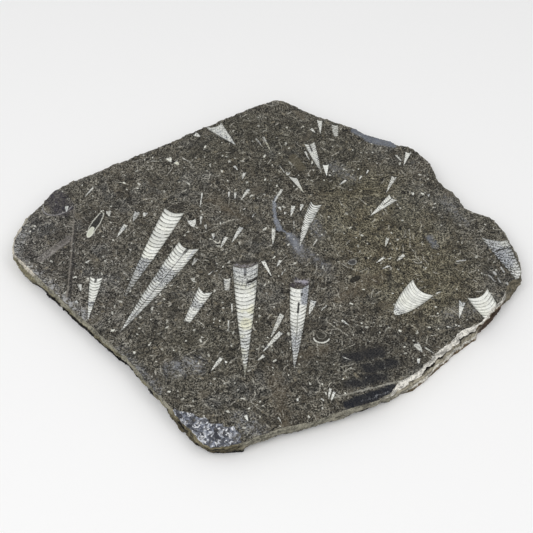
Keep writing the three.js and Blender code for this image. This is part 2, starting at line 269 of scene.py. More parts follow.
# Smaller pieces of shell: start, end, width, how pale, how warm (-1 bluish to 1 tan). They are cones
# without chamber walls.
shardLook = {"strength": 0.0, "taper": 2.2, "sag": 0.2, "tone": 0.94, "ragged": 1.2, "fade": 0.5,
             "blotch": 1.1}
shards = [
    ((-3, 6), (4.5, -11), 3.4, 1.0, 0.1), ((-141, 63), (-139.5, 56), 4.6, 0.72, 0.2),
    ((-124, 47), (-131, 32), 4.2, 0.8, 0.1), ((-115, 62), (-118, 50), 5, 0.7, -0.3),
    ((-107.5, 61), (-109, 55.5), 4.4, 0.8, 0), ((-157, 91), (-164.5, 78), 2, 0.75, 0),
    ((-178.5, 69), (-178, 61), 3.4, 0.85, -0.2), ((-91, 128), (-88, 122), 5.5, 0.94, 0.5),
    ((-84.5, 123), (-80.5, 119), 5, 0.92, 0.5), ((-107, 123.5), (-93, 123.5), 1.1, 0.62, 0.6),
    ((-78, 128), (-66, 118), 1.3, 0.6, 0.5), ((-58, 85), (-59.6, 65), 1.7, 0.85, 0.1),
    ((-20, 109.5), (-22.5, 100), 3, 0.75, 0), ((-30, 118), (-26, 111.5), 2.6, 0.78, 0),
    ((-16, 89), (-23.5, 75), 3.4, 0.7, 0.1), ((-34, 86), (-34, 79), 2.6, 0.7, -0.1),
    ((-28, 85), (-28.5, 76), 2.6, 0.7, 0), ((14, 89), (6, 71), 3, 0.68, 0.1),
    ((24, 69), (21.5, 55.5), 3.6, 0.86, 0), ((32, 71), (30, 62.5), 3.4, 0.86, 0),
    ((6.3, 43), (5.5, 23.5), 3.8, 0.8, 0), ((-22, 44), (-30.5, 26), 4.2, 0.85, -0.1),
    ((-35, 33), (-40.5, 19), 3.4, 0.8, 0), ((-47, 37), (-46, 30), 3, 0.75, 0),
    ((-66.5, 52.5), (-64, 43.5), 8, 0.86, 0.1), ((-58, 57), (-58, 46), 2.4, 0.7, 0),
    ((12, 7), (8.5, -1), 3, 0.86, 0), ((39.5, -36), (35, -51), 5, 0.85, 0),
    ((13, -50), (3, -75), 4.4, 0.72, 0.1), ((12, -68), (-3.5, -88), 4.2, 0.78, 0.1),
    ((-2, -91), (-7.5, -96), 3, 0.75, 0.2), ((-36, -93), (-44.5, -106), 3.4, 0.8, 0),
    ((-34, -97), (-31, -97.5), 3, 0.9, 0), ((101.5, 10), (93.5, 3.5), 2.4, 0.85, 0),
    ((119, 13), (111.5, 5.5), 3.6, 0.72, 0), ((105.5, 1), (97.5, -3), 2, 0.78, 0),
    ((106, 32), (103, 21.5), 3, 0.72, 0), ((93.5, 112.5), (91, 106.5), 2, 0.85, 0),
    ((87, 105.5), (84, 99.5), 2, 0.85, 0), ((72.5, 100), (65.5, 93.5), 2.4, 0.82, 0),
    ((132, 85), (132, 81), 3, 0.8, 0), ((146, 83), (146, 79), 2.4, 0.8, 0),
    ((120, 131.5), (125.5, 122.5), 2.4, 0.62, 0), ((36, 136), (40.5, 123), 2, 0.75, 0),
    ((42, 166), (46.5, 159.5), 3, 0.8, 0), ((-68, 159), (-62, 155), 5, 0.8, 0),
    ((12, 118), (22, 98.5), 1.1, 0.6, 0.6), ((-3, 155), (6, 131), 2.2, 0.5, 0.9),
    ((-10, 153), (-2, 139), 1.8, 0.48, 0.9), ((20, 109.5), (19, 104), 4, 0.7, 0.5),
    ((122.5, -93.5), (121.6, -99.5), 3, 0.95, 0), ((128, -83), (136.5, -90), 1.6, 0.62, 0.2),
    ((148, -62.5), (152.5, -63.5), 1.3, 0.95, 0), ((157, -62), (160.5, -62), 1.2, 0.95, 0),
    ((121, -79), (126, -88), 5.5, 0.62, 0.1), ((62, -56), (68.5, -62), 2.2, 0.8, 0),
    ((50.5, -122), (48.5, -132), 2.6, 0.85, 0), ((53.5, -125), (50, -134.5), 2.4, 0.92, 0),
    ((43, -131), (45.5, -134), 1.8, 0.9, 0), ((23.5, -131), (25, -134), 2.6, 0.85, 0),
    ((-16.5, -146), (-14, -152), 3, 0.88, 0), ((140, -30), (148.5, -26), 1.8, 0.8, 0),
    ((9, -148), (12, -154), 1.6, 0.75, 0.1), ((-63, -12), (-61, -17), 4, 0.62, 0.3),
    ((-60.5, 9), (-64, 0), 3.6, 0.52, -0.2), ((-49.5, -9), (-45, -4), 1.5, 0.85, 0),
    ((-44, -5), (-41, -4), 1.6, 0.7, 0), ((-31.5, -56), (-31, -67), 1.8, 0.68, 0),
    ((-29, -39), (-28.5, -50), 1.5, 0.8, 0), ((-12.5, 55.5), (-10.5, 60.5), 1.2, 0.9, 0),
    ((13, -9), (16, -1), 0.9, 0.85, 0), ((15.2, -5), (17, -0.5), 0.8, 0.85, 0),
    ((-155, 4), (-151.5, 7), 2.2, 0.7, 0), ((-160, -36.5), (-157, -39), 3, 0.8, -0.3),
    ((-183, -26), (-178, -29), 4, 0.66, -0.5), ((-158, -19), (-156, -27), 3.4, 0.66, 0),
    ((50, -41), (45, -47), 1.4, 0.8, 0), ((44, 30), (40, 22), 1.6, 0.75, 0),
    ((11, 68), (13, 63), 2.6, 0.85, 0), ((17, 61.5), (16, 58.5), 2.4, 0.88, 0),
    ((24, 52), (24.5, 37), 1.0, 0.6, 0.6), ((-41, 50), (-40, 46), 1.4, 0.75, 0),
    ((-54, 47), (-53, 41), 2.6, 0.6, 0.1), ((-19, 66), (-21, 63.5), 1.4, 0.8, 0),
    ((61, -92), (69, -96), 1.2, 0.7, 0.2), ((62, -150), (58, -146), 1.2, 0.6, 0.4),
]

# Curved shells seen edge on: an oval of the radius, squashed and turned, drawn from the start angle on
# for the sweep, and perhaps filled.
curlDefaults = {"turn": 0, "squash": 0.85, "width": 0.8, "start": 180, "fill": None}
curls = [
    {"name": "bowl", "middle": (45, -73), "radius": 6.6, "width": 1.2, "sweep": 170,
     "colour": (220, 220, 212), "strength": 0.9, "fill": (52, 50, 44)},
    {"name": "bowl inside", "middle": (45, -71.5), "radius": 3.8, "squash": 0.8, "width": 0.6,
     "start": 150, "sweep": 300, "colour": (150, 148, 138), "strength": 0.8},
    {"name": "bowl outside", "middle": (45, -73), "radius": 9.6, "width": 0.7, "start": 120,
     "sweep": 200, "colour": (150, 148, 138), "strength": 0.6},
    {"name": "button", "middle": (73.5, 5), "radius": 3.2, "squash": 0.9, "start": 200, "sweep": 300,
     "colour": (150, 150, 146), "strength": 0.8, "fill": (66, 66, 68)},
    {"name": "long oval", "middle": (-151, 47), "turn": 68, "radius": 15, "squash": 0.22, "width": 0.9,
     "start": 20, "sweep": 350, "colour": (206, 206, 196), "strength": 0.85, "fill": (38, 38, 38)},
    {"name": "long oval's end", "middle": (-154.4, 38.5), "turn": 68, "radius": 5.6, "squash": 0.37,
     "start": 0, "sweep": 360, "colour": (224, 225, 212), "strength": 0.9, "fill": (220, 222, 206)},
    {"name": "cup", "middle": (-43, 29), "radius": 2.4, "squash": 1.2, "width": 1.2, "sweep": 180,
     "colour": (210, 208, 196), "strength": 0.85},
    {"name": "corner ring", "middle": (-187, 68), "turn": 20, "radius": 13, "squash": 0.75,
     "width": 1.1, "start": 150, "sweep": 190, "colour": (150, 148, 150), "strength": 0.75},
    {"name": "hook", "middle": (130, 6), "radius": 3.4, "squash": 0.7, "sweep": 180,
     "colour": (190, 188, 178), "strength": 0.8},
    {"name": "low bow", "middle": (66, -108), "turn": 30, "radius": 6.0, "squash": 0.6, "start": 0,
     "sweep": 160, "colour": (170, 168, 158), "strength": 0.7},
    {"name": "black curl", "middle": (-52, -92), "turn": -30, "radius": 7.0, "squash": 0.4,
     "width": 1.3, "start": 190, "sweep": 160, "colour": (14, 14, 14), "strength": 0.9},
    {"name": "black eye", "middle": (75.5, -13.5), "turn": 35, "radius": 5.0, "squash": 0.4,
     "width": 1.0, "start": 0, "sweep": 360, "colour": (14, 14, 14), "strength": 0.8,
     "fill": (24, 23, 21)},
]
print("dictionaries read")


# Shapes


def chance(cellX, cellY, seed):
    # A repeatable number from 0 to 1 for each whole-number cell: the end digits of a large sine
    wave = np.sin(cellX * 127.1 + cellY * 311.7 + seed * 74.7) * 43758.5453
    return wave - np.floor(wave)


def softNoise(x, y, seed, wrap=0):
    # From -1 to 1: the four corners' chances, blended across each cell by 3t^2 - 2t^3
    cellX, cellY = np.floor(x), np.floor(y)
    shareX, shareY = x - cellX, y - cellY
    shareX = shareX * shareX * (3 - 2 * shareX)
    shareY = shareY * shareY * (3 - 2 * shareY)

    def corner(stepX, stepY):
        column = (cellX + stepX) % wrap if wrap else cellX + stepX
        return chance(column, cellY + stepY, seed)

    near = corner(0, 0) * (1 - shareX) + corner(1, 0) * shareX
    far = corner(0, 1) * (1 - shareX) + corner(1, 1) * shareX
    return 2 * (near * (1 - shareY) + far * shareY) - 1


def aroundCells(x, y, seed, wrap=0):
    # Gives each of the nine cells around a point in turn: the way to its middle, and its key
    cellX, cellY = np.floor(x), np.floor(y)
    for stepX in (-1, 0, 1):
        for stepY in (-1, 0, 1):
            column = (cellX + stepX) % wrap if wrap else cellX + stepX
            row = cellY + stepY
            wayX = cellX + stepX + chance(column, row, seed) - x
            wayY = row + chance(column, row, seed + 1) - y
            yield wayX, wayY, column, row


def chips(x, y, seed, wrap=0):
    # From about -1 to 1: every point takes the tilted plane of the nearest middle
    nearest = np.full(x.shape, 9.0)
    height = np.zeros(x.shape)
    for wayX, wayY, column, row in aroundCells(x, y, seed, wrap):
        distance = wayX ** 2 + wayY ** 2
        level = 0.8 * (2 * chance(column, row, seed + 2) - 1)
        tiltX = 2 * chance(column, row, seed + 3) - 1
        tiltY = 2 * chance(column, row, seed + 4) - 1
        closer = distance < nearest
        nearest = np.where(closer, distance, nearest)
        height = np.where(closer, level + tiltX * wayX + tiltY * wayY, height)
    return height


def crystals(x, y, seed):
    # From 0 to about 1: the highest of the four-sided pyramids around a point, each turned its own way
    height = np.full(x.shape, -9.0)
    for wayX, wayY, column, row in aroundCells(x, y, seed):
        turn = math.pi * chance(column, row, seed + 2)
        u = wayX * np.cos(turn) + wayY * np.sin(turn)
        v = wayY * np.cos(turn) - wayX * np.sin(turn)
        steep = 0.7 + 0.6 * chance(column, row, seed + 3)
        lean = 0.5 * (2 * chance(column, row, seed + 4) - 1)
        peak = 1.1 * chance(column, row, seed + 5)
        height = np.maximum(height, peak - steep * np.maximum(np.abs(u) + lean * u, 0.75 * np.abs(v)))
    return np.clip(height + 0.35, 0, 1.2)


def scatter(number, seed):
    # The part after the point of number times the golden ratio, as in the CAD solid
    return (number * (1 + math.sqrt(5)) / 2 + seed * math.sqrt(2) + 0.37) % 1


def ease(value, low, high):
    share = np.clip((value - low) / (high - low), 0, 1)
    return share * share * (3 - 2 * share)


def toLinear(colour):
    # A seen colour, 0 to 255, as the light that Blender works in
    shown = np.asarray(colour, float) / 255
    return np.where(shown <= 0.04045, shown / 12.92, ((shown + 0.055) / 1.055) ** 2.4)


def fromCentre(points):
    # From the outline's coordinates to the slab's own frame
    return np.array(points, float) - slab["outlineCentre"]


def neighbourMean(rows, reach):
    # The mean of each row of a closed ring and its neighbours, up to reach on each side
    return sum(np.roll(rows, step, axis=0) for step in range(-reach, reach + 1)) / (2 * reach + 1)


def sideRings():
    # The CAD solid's rings: each station's face edge, moved outwards by its level's reach and
    # roughness, and moved by the level's calm towards the mean of its neighbours
    corners = [(point, stretch) for stretch in stretches for point in stretch["points"]]
    points = np.array([point for point, stretch in corners], float)
    keys = ("rim", "drop", "recess", "ledge", "foot")
    profiles = np.array([[stretch[key] for key in keys] for point, stretch in corners])
    tones = toLinear([[sideTones[tone] for tone in stretch["tones"]] for point, stretch in corners])
    bands = np.array([stretch.get("bands", slab["bands"]) for point, stretch in corners])
    lengths = np.linalg.norm(np.roll(points, -1, axis=0) - points, axis=1)
    steps = np.maximum(1, np.floor(lengths / slab["stationStep"] + 0.5)).astype(int)
    corner = np.repeat(np.arange(len(points)), steps)
    following = (corner + 1) % len(points)
    started = np.repeat(np.cumsum(steps) - steps, steps)
    share = (np.arange(steps.sum()) - started) / np.repeat(steps, steps)

    def alongEdge(rows):
        # Each station's mix of the rows of the two corners that it lies between
        mix = share.reshape((-1,) + (1,) * (rows.ndim - 1))
        return rows[corner] * (1 - mix) + rows[following] * mix

    edge, profile, tone, band = (alongEdge(rows) for rows in (points, profiles, tones, bands))
    along = np.roll(edge, -2, axis=0) - np.roll(edge, 2, axis=0)
    along /= np.linalg.norm(along, axis=1)[:, None]
    out = np.stack([-along[:, 1], along[:, 0]], axis=1)
    calm = neighbourMean(edge, slab["footReach"])
    rim, drop, recess, ledge, foot = profile.T
    top = slab["thickness"]
    levels = [  # how far out, how high, how rough, how calm
        (0 * rim, top + 0 * rim, 0.3, 0),
        (rim * 0.65, top - drop * 0.35, 0.35, 0.2),
        (rim, top - drop, 0.7, 0.5),
        (rim - recess, top - drop - slab["splitDrop"], 0.7, 0.8),
        (ledge, top - drop - slab["ledgeDrop"], 0.8, 1),
        (ledge * 0.8 + foot * 0.2, slab["waistHeight"] + 0 * rim, 0.8, 1),
        (ledge * 0.25 + foot * 0.75, slab["footHeight"] + 0 * rim, 0.6, 1),
        (foot, 0 * rim, 0.4, 1),
    ]
    count = len(edge)
    turn = 2 * math.pi * np.arange(count) / count
    rings = []
    for number, (outward, height, rough, calmShare) in enumerate(levels):
        waves = sum(tall * np.sin(often * turn + shift * number) for tall, often, shift in slab["waves"])
        waves += slab["scatter"] * (scatter(np.arange(count), number) - 0.5)
        middle = fromCentre(edge * (1 - calmShare) + calm * calmShare)
        place = middle + out * (outward + rough * waves)[:, None]
        rings.append(np.column_stack([place, height]))
    return np.array(rings), out, tone, band


def between(rows, count, closed):
    # Puts count - 1 even steps between each two neighbours of the first axis
    starts = rows if closed else rows[:-1]
    ends = np.roll(rows, -1, axis=0) if closed else rows[1:]
    share = (np.arange(count) / count).reshape((1, count) + (1,) * (rows.ndim - 1))
    fine = starts[:, None] * (1 - share) + ends[:, None] * share
    fine = fine.reshape((-1,) + rows.shape[1:])
    return fine if closed else np.concatenate([fine, rows[-1:]])


def brokenSide():
    # The CAD rings with finer stations and levels, moved outwards by the sum of the relief's depths
    # times its chips and layers, and coloured by easing from each band's tone into the next one's
    rings, out, tone, band = sideRings()
    rings = between(rings, slab["fineLevels"], closed=False)
    rings = between(rings.swapaxes(0, 1), slab["fineStations"], closed=True).swapaxes(0, 1)
    out, tone, band = (between(rows, slab["fineStations"], closed=True) for rows in (out, tone, band))
    levelCount, count = rings.shape[:2]
    walked = np.linalg.norm(np.roll(rings[0], -1, axis=0) - rings[0], axis=1)
    perimeter = walked.sum()
    along = np.tile(np.concatenate([[0], np.cumsum(walked)[:-1]]), (levelCount, 1))
    down = slab["thickness"] - rings[:, :, 2]
    down = down + 0.35 * np.linalg.norm(rings[:, :, :2] - rings[:1, :, :2], axis=2)
    level = np.arange(levelCount)[:, None] / (levelCount - 1)
    kinds = {"chips": chips, "layers": softNoise}

    def aroundSide(kind, size, row, seed):
        # As many cells of about this size as close up once round the slab
        cellCount = round(perimeter / size)
        return kinds[kind](along / perimeter * cellCount, row, seed, cellCount)

    push = sum(depth * aroundSide(kind, size, down / tall, seed)
               for kind, size, tall, depth, seed in slab["relief"])
    inside = ease(level, 0, 0.12) * ease(1 - level, 0, 0.1)
    push = push * (0.25 + 0.75 * inside)
    ragged = sum(depth * aroundSide(kind, size, 0 * down + 0.5, seed)
                 for kind, size, depth, seed in slab["edgeRelief"])
    push += slab["edgeChip"] * ragged * (1 - ease(level, 0, 0.3))
    rings[:, :, :2] += push[:, :, None] * out[None]

    size, tall, seed = slab["bandWave"]
    share = level + tall * aroundSide("layers", size, 0 * down, seed)
    tone, band = neighbourMean(tone, slab["toneSoft"]), neighbourMean(band, slab["toneSoft"])
    size, tall, wander, seed = slab["toneWander"]
    shift = wander * aroundSide("layers", size, down / tall, seed)
    place = (np.arange(count)[None] + np.rint(shift).astype(int)) % count
    colour = tone[place, 0]
    for number in range(band.shape[1]):
        passed = ease(share - band[place, number], -slab["bandSoft"], slab["bandSoft"])[:, :, None]
        colour = colour * (1 - passed) + tone[place, number + 1] * passed
    return rings, colour, along / perimeter


def isInside(points, ring):
    # Even-odd rule: counts the ring's edges that a ray along +X crosses
    x, y = points[:, 0][:, None], points[:, 1][:, None]
    x1, y1 = ring[:, 0][None], ring[:, 1][None]
    x2, y2 = np.roll(ring[:, 0], -1)[None], np.roll(ring[:, 1], -1)[None]
    spans = (y1 > y) != (y2 > y)
    rise = np.where(y2 == y1, 1e-9, y2 - y1)
    return (np.sum(spans & (x < x1 + (y - y1) * (x2 - x1) / rise), axis=1) % 2) == 1


def distanceToLine(points, line):
    # The least distance from each point to the stretches between a line's neighbours
    nearest = np.full(len(points), 1e9)
    for start, end in zip(line[:-1], line[1:]):
        way = end - start
        share = np.clip((points - start) @ way / (way @ way), 0, 1)
        nearest = np.minimum(nearest, np.linalg.norm(points - start - share[:, None] * way, axis=1))
    return nearest


def loosePoints(ring, spacing, seed):
    # A shaken grid of points, kept well inside the ring
    low, high = ring.min(axis=0), ring.max(axis=0)
    x, y = np.meshgrid(np.arange(low[0], high[0], spacing), np.arange(low[1], high[1], spacing))
    x, y = x.ravel(), y.ravel()
    key = np.arange(len(x))
    shaken = np.column_stack([x + 0.5 * spacing * (chance(key, 1, seed) - 0.5),
                              y + 0.5 * spacing * (chance(key, 2, seed) - 0.5)])
    shaken = shaken[isInside(shaken, ring)]
    closed = np.vstack([ring, ring[:1]])
    return shaken[distanceToLine(shaken, closed) > 0.35 * spacing]


def fossilRow(mouth, axis, halfWidth, length, look):
    # One fossil's numbers for the shader, three to an attribute
    reach = look["reach"] or length
    return {
        "fossilFrame": (mouth[0], mouth[1], math.atan2(axis[0], axis[1])),
        "fossilShape": (halfWidth, length, look["taper"]),
        "fossilSepta": (look["pitch"][0], look["pitch"][1], look["strength"]),
        "fossilCurve": (look["sag"], look.get("slope", 0.0), look["bend"]),
        "fossilSiphon": look["siphon"],
        "fossilTone": (look["tone"], look["warmth"], look["blotch"]),
        "fossilWear": (reach, look["fade"], look["ragged"]),
        "fossilScar": look["scar"],
        "fossilEnd": (look["round"], look["walls"], look["lines"]),
        "fossilStain": (*look["stain"], look["thread"]),
    }


fossilMargin = {"mouth": 1.2, "end": 1.8, "side": 1.2, "sideShare": 1.06}


def fossilPatch(row):
    # The outline of the faces that carry a fossil: its two sides, a margin outside it
    halfWidth, length, taper = row["fossilShape"]
    reach = row["fossilWear"][0]
    sag, slope, bend = row["fossilCurve"]
    first = -abs(slope) * halfWidth - fossilMargin["mouth"] + min(0, sag * halfWidth)
    along = np.linspace(first, reach + fossilMargin["end"], 6)
    share = np.clip(along / length, 0, 1)
    half = halfWidth * (1 - share ** taper) ** row["fossilEnd"][0]
    half = half * fossilMargin["sideShare"] + fossilMargin["side"]
    middle = 4 * bend * share * (1 - share)
    across = np.concatenate([middle + half, (middle - half)[::-1]])
    along = np.concatenate([along, along[::-1]])
    mouthX, mouthY, turn = row["fossilFrame"]
    axis = np.array([math.sin(turn), math.cos(turn)])
    sideways = np.array([axis[1], -axis[0]])
    return np.array([mouthX, mouthY]) + across[:, None] * sideways + along[:, None] * axis


def allFossils():
    # Every cone and shard as a row of shader numbers, in the slab's own frame
    rows = []
    for start, end, width, tone, warmth in shards:
        start, end = fromCentre(start), fromCentre(end)
        length = np.linalg.norm(end - start)
        look = {**coneDefaults, **shardLook, "tone": tone * shardLook["tone"], "warmth": warmth}
        rows.append(fossilRow(start, (end - start) / length, width / 2, length, look))
    for cone in cones:
        left, right, tip = (fromCentre(cone[key]) for key in ("left", "right", "tip"))
        mouth = (left + right) / 2
        length = np.linalg.norm(tip - mouth)
        axis = (tip - mouth) / length
        sideways = np.array([axis[1], -axis[0]])
        across = (left - right) @ sideways
        look = {**coneDefaults, **cone, "slope": ((left - right) @ axis) / across}
        rows.append(fossilRow(mouth, axis, across / 2, length, look))
    return rows


def turnedLeft(ring, first):
    # The numbers of a ring's points from first on, in the order that keeps its inside on the left
    x, y = ring[:, 0], ring[:, 1]
    order = list(range(first, first + len(ring)))
    area = np.sum(x * np.roll(y, -1) - np.roll(x, -1) * y)
    return order if area > 0 else order[::-1]


def cutTriangles(ring, patches, loose):
    # The ring's inside as triangles that keep every patch's outline. Gives the points, the triangles,
    # what each triangle lies in (0 is the ring, then the patches), and each point's place in the ring
    faces = []
    first = 0
    for outline in (ring, *patches):
        faces.append(turnedLeft(outline, first))
        first += len(outline)
    points = [Vector(point) for point in np.vstack([ring, *patches, loose])]
    made, _, triangles, cameFrom, _, sources = delaunay_2d_cdt(points, [], faces, 1, 1e-5, True)
    kept = [number for number, source in enumerate(sources) if 0 in source]
    ringOf = np.full(len(made), -1)
    for number, source in enumerate(cameFrom):
        onRing = [vertex for vertex in source if vertex < len(ring)]
        if onRing:
            ringOf[number] = onRing[0]
    made = np.array([tuple(point) for point in made])
    triangles = np.array([triangles[number] for number in kept])
    return made, triangles, [sources[number] for number in kept], ringOf


def crystalArea():
    # The crystal patch's outline: its border, made uneven, and the points that close it outside
    border = between(fromCentre(crystalPatch["border"]), 7, closed=False)
    size = crystalPatch["waveSize"]
    wobble = np.column_stack([softNoise(border[:, 0] / size, border[:, 1] / size, seed) for seed in (81, 83)])
    border += crystalPatch["wave"] * wobble
    return border, np.vstack([border, fromCentre(crystalPatch["outside"])])


def polishedFace(ring, rows, border, crystalRing):
    # Triangles of the flat face, cut along every fossil's patch and the crystal patch
    fine = loosePoints(crystalRing, crystalPatch["spacing"], 5)
    closed = np.vstack([ring, ring[:1]])
    keep = isInside(fine, ring) & (distanceToLine(fine, closed) > 0.4)
    fine = fine[keep & (distanceToLine(fine, border) > 0.3)]
    loose = loosePoints(ring, slab["meshStep"], 3)
    loose = loose[~isInside(loose, crystalRing)]
    patches = [fossilPatch(row) for row in rows] + [crystalRing]
    made, triangles, sources, ringOf = cutTriangles(ring, patches, np.vstack([loose, fine]))
    kind = np.array([max(source) for source in sources]) - 1
    crystal = np.array([len(patches) in source for source in sources])
    kind[crystal] = len(patches) - 1
    # a patch that crosses the ring leaves a point on it, which is drawn to the nearest ring point
    used = np.unique(triangles)
    crossings = used[(ringOf[used] < 0)]
    crossings = crossings[distanceToLine(made[crossings], closed) < 1e-3]
    target = np.arange(len(made))
    ringPlaces = np.where(ringOf >= 0)[0]
    for crossing in crossings:
        away = np.linalg.norm(made[ringPlaces] - made[crossing], axis=1)
        target[crossing] = ringPlaces[np.argmin(away)]
    triangles = target[triangles]
    a, b, c = triangles.T
    whole = (a != b) & (b != c) & (a != c)
    print("polished face:", int(whole.sum()), "triangles,", len(crossings), "edge crossings")
    return made, triangles[whole], kind[whole], ringOf


def crystalDip(points, crystalRing, border):
    # How far below the polished face each point lies: crystals and small grains, from the border in
    inside = isInside(points, crystalRing)
    ramp = ease(distanceToLine(points, border), 0.0, crystalPatch["ramp"]) * inside
    x, y = points[:, 0], points[:, 1]
    big = crystals(x / crystalPatch["crystal"], y / crystalPatch["crystal"], 61)
    small = crystals(x / crystalPatch["grain"], y / crystalPatch["grain"], 71)
    bigShare = crystalPatch["bigShare"]
    deep = bigShare * (1 - big / 1.2) + (1 - bigShare) * (1 - small / 1.2)
    return np.minimum(ramp * (crystalPatch["step"] + crystalPatch["depth"] * deep), crystalPatch["depth"])


bakeMap = {  # where each part of the surface lies on the square picture of the OFBake map, in pixels
    "size": 1024, "margin": 9, "face": 2.28, "strips": 3, "stripTall": 40, "stripGap": 8,
    "underside": 0.55, "undersideTurn": 48,
}


def bakePlaces(kindOfFace, faces, vertices, alongOfLoop, downOfLoop):
    # Each loop's place on the baked picture: the face from above, the side in strips, the underside small
    size, margin = bakeMap["size"], bakeMap["margin"]
    low, high = vertices[:, :2].min(axis=0), vertices[:, :2].max(axis=0)
    spot = vertices[faces.ravel(), :2]
    fromAbove = np.column_stack([margin + (spot[:, 0] - low[0]) * bakeMap["face"],
                                 margin + (high[1] - spot[:, 1]) * bakeMap["face"]])
    faceTall = (high[1] - low[1]) * bakeMap["face"]
    strips, tall, gap = bakeMap["strips"], bakeMap["stripTall"], bakeMap["stripGap"]
    strip = np.floor(alongOfLoop.mean(axis=1) % 1 * strips).clip(0, strips - 1)
    strip = np.repeat(strip, 3)
    onSide = np.column_stack([margin + (alongOfLoop.ravel() * strips - strip) * (size - 2 * margin),
                              margin + faceTall + gap + strip * (tall + gap) + downOfLoop.ravel() * tall])
    turn = math.radians(bakeMap["undersideTurn"])
    small = (spot - spot.mean(axis=0)) * bakeMap["underside"]
    beneath = np.column_stack([small[:, 0] * math.cos(turn) - small[:, 1] * math.sin(turn),
                               small[:, 0] * math.sin(turn) + small[:, 1] * math.cos(turn)])
    under = np.repeat(kindOfFace == "underside", 3)
    beneath -= beneath[under].min(axis=0)
    beneath[:, 1] = beneath[under, 1].max() - beneath[:, 1]
    corner = np.array([margin, margin + faceTall - beneath[under, 1].max()])
    side = np.repeat(kindOfFace == "side", 3)
    places = np.where(side[:, None], onSide, fromAbove)
    places = np.where(under[:, None], beneath + corner, places)
    return np.column_stack([places[:, 0] / size, 1 - places[:, 1] / size])


def storeValues(mesh, name, kind, domain, values):
    # A named attribute of the mesh, one row of numbers for each of its points or faces
    field = {"FLOAT_VECTOR": "vector", "FLOAT_COLOR": "color"}[kind]
    made = mesh.attributes.new(name, kind, domain)
    made.data.foreach_set(field, values.astype(np.float32).ravel())


def buildSlab():
    # Side rings as a grid of points, closed by the cut polished face above and the underside below
    rings, sideColour, along = brokenSide()
    levelCount, count = rings.shape[:2]
    low = np.array(cadLow[:2]) / mm + slab["clearance"]
    high = np.array(cadHigh[:2]) / mm - slab["clearance"]
    rings[:, :, :2] = np.clip(rings[:, :, :2], low, high)
    rows = allFossils()
    border, crystalRing = crystalArea()
    flat, flatFaces, kind, ringOf = polishedFace(rings[0, :, :2], rows, border, crystalRing)
    dip = crystalDip(flat, crystalRing, border)
    ringDip = crystalDip(rings[0, :, :2], crystalRing, border)
    rings[:, :, 2] *= ((slab["thickness"] - ringDip) / slab["thickness"])[None]
    lowRing = rings[-1, :, :2]
    loose = loosePoints(lowRing, 2 * slab["meshStep"], 9)
    under, underFaces, _, underRingOf = cutTriangles(lowRing, [], loose)

    # the flat faces share the rings' points and add their own
    ringVertices = rings.reshape(-1, 3)
    used = np.zeros(len(flat), bool)
    used[flatFaces.ravel()] = True
    flatOnly = np.where((ringOf < 0) & used)[0]
    flatIndex = np.where(ringOf >= 0, ringOf, 0)
    flatIndex[flatOnly] = len(ringVertices) + np.arange(len(flatOnly))
    underOnly = np.where(underRingOf < 0)[0]
    lastRing = (levelCount - 1) * count
    underIndex = np.where(underRingOf >= 0, lastRing + underRingOf, 0)
    underIndex[underOnly] = len(ringVertices) + len(flatOnly) + np.arange(len(underOnly))
    flatVertices = np.column_stack([flat[flatOnly], slab["thickness"] - dip[flatOnly]])
    underVertices = np.column_stack([under[underOnly], np.zeros(len(underOnly))])
    vertices = np.vstack([ringVertices, flatVertices, underVertices])

    # stations run clockwise, so a, b, d turns outwards
    level, station = np.meshgrid(np.arange(levelCount - 1), np.arange(count), indexing="ij")
    level, station = level.ravel(), station.ravel()
    a, b = level * count + station, level * count + (station + 1) % count
    c, d = a + count, b + count
    sideFaces = np.stack([np.column_stack([a, b, d]), np.column_stack([a, d, c])], axis=1).reshape(-1, 3)
    flatTriangles = flatIndex[flatFaces]
    underTriangles = underIndex[underFaces][:, ::-1]
    faces = np.vstack([flatTriangles, sideFaces, underTriangles])
    kindOfFace = np.repeat(["face", "side", "underside"],
                           [len(flatTriangles), len(sideFaces), len(underTriangles)])

    mesh = bpy.data.meshes.new("dressed_slab")
    mesh.from_pydata((vertices * mm).tolist(), [], faces.tolist())
    crystalKind = len(rows)
    materialOf = np.full(len(faces), finishes.index("side"))
    materialOf[:len(flatTriangles)] = np.where(kind < 0, finishes.index("face"), np.where(
        kind == crystalKind, finishes.index("crystals"), finishes.index("fossils")))
    materialOf[kindOfFace == "underside"] = finishes.index("underside")
    mesh.polygons.foreach_set("material_index", materialOf.astype(np.int32))

    fossilOfFace = np.full(len(faces), -1)
    fossilOfFace[:len(flatTriangles)] = np.where(kind == crystalKind, -1, kind)
    for name in rows[0]:
        values = np.array([row[name] for row in rows] + [(1.0, 1.0, 1.0)])
        storeValues(mesh, name, "FLOAT_VECTOR", "FACE", values[fossilOfFace])
    colour = np.ones((len(vertices), 4))
    # the side's tones carry the painted shade of the split and the undercut foot
    colour[:len(ringVertices), :3] = sideColour.reshape(-1, 3)
    storeValues(mesh, "sideTone", "FLOAT_COLOR", "POINT", colour)

    alongRing, downRing = np.zeros((2, len(vertices)))
    alongRing[:len(ringVertices)] = along.ravel()
    downRing[:len(ringVertices)] = np.repeat(np.arange(levelCount) / (levelCount - 1), count)
    loopAlong = alongRing[faces]
    wrapsRound = loopAlong.max(axis=1) - loopAlong.min(axis=1) > 0.5
    loopAlong = np.where(wrapsRound[:, None] & (loopAlong < 0.5), loopAlong + 1, loopAlong)
    places = bakePlaces(kindOfFace, faces, vertices, loopAlong, downRing[faces])
    bake = mesh.uv_layers.new(name="OFBake")
    bake.data.foreach_set("uv", places.astype(np.float32).ravel())

    mesh.polygons.foreach_set("use_smooth", np.ones(len(faces), bool))
    mesh.set_sharp_from_angle(angle=math.radians(slab["sharpAngle"]))
    mesh.validate()
    mesh.update()
    made = bpy.data.objects.new("dressed_slab", mesh)
    bpy.context.scene.collection.objects.link(made)
    print("slab built:", len(faces), "triangles")
    return made


# Materials


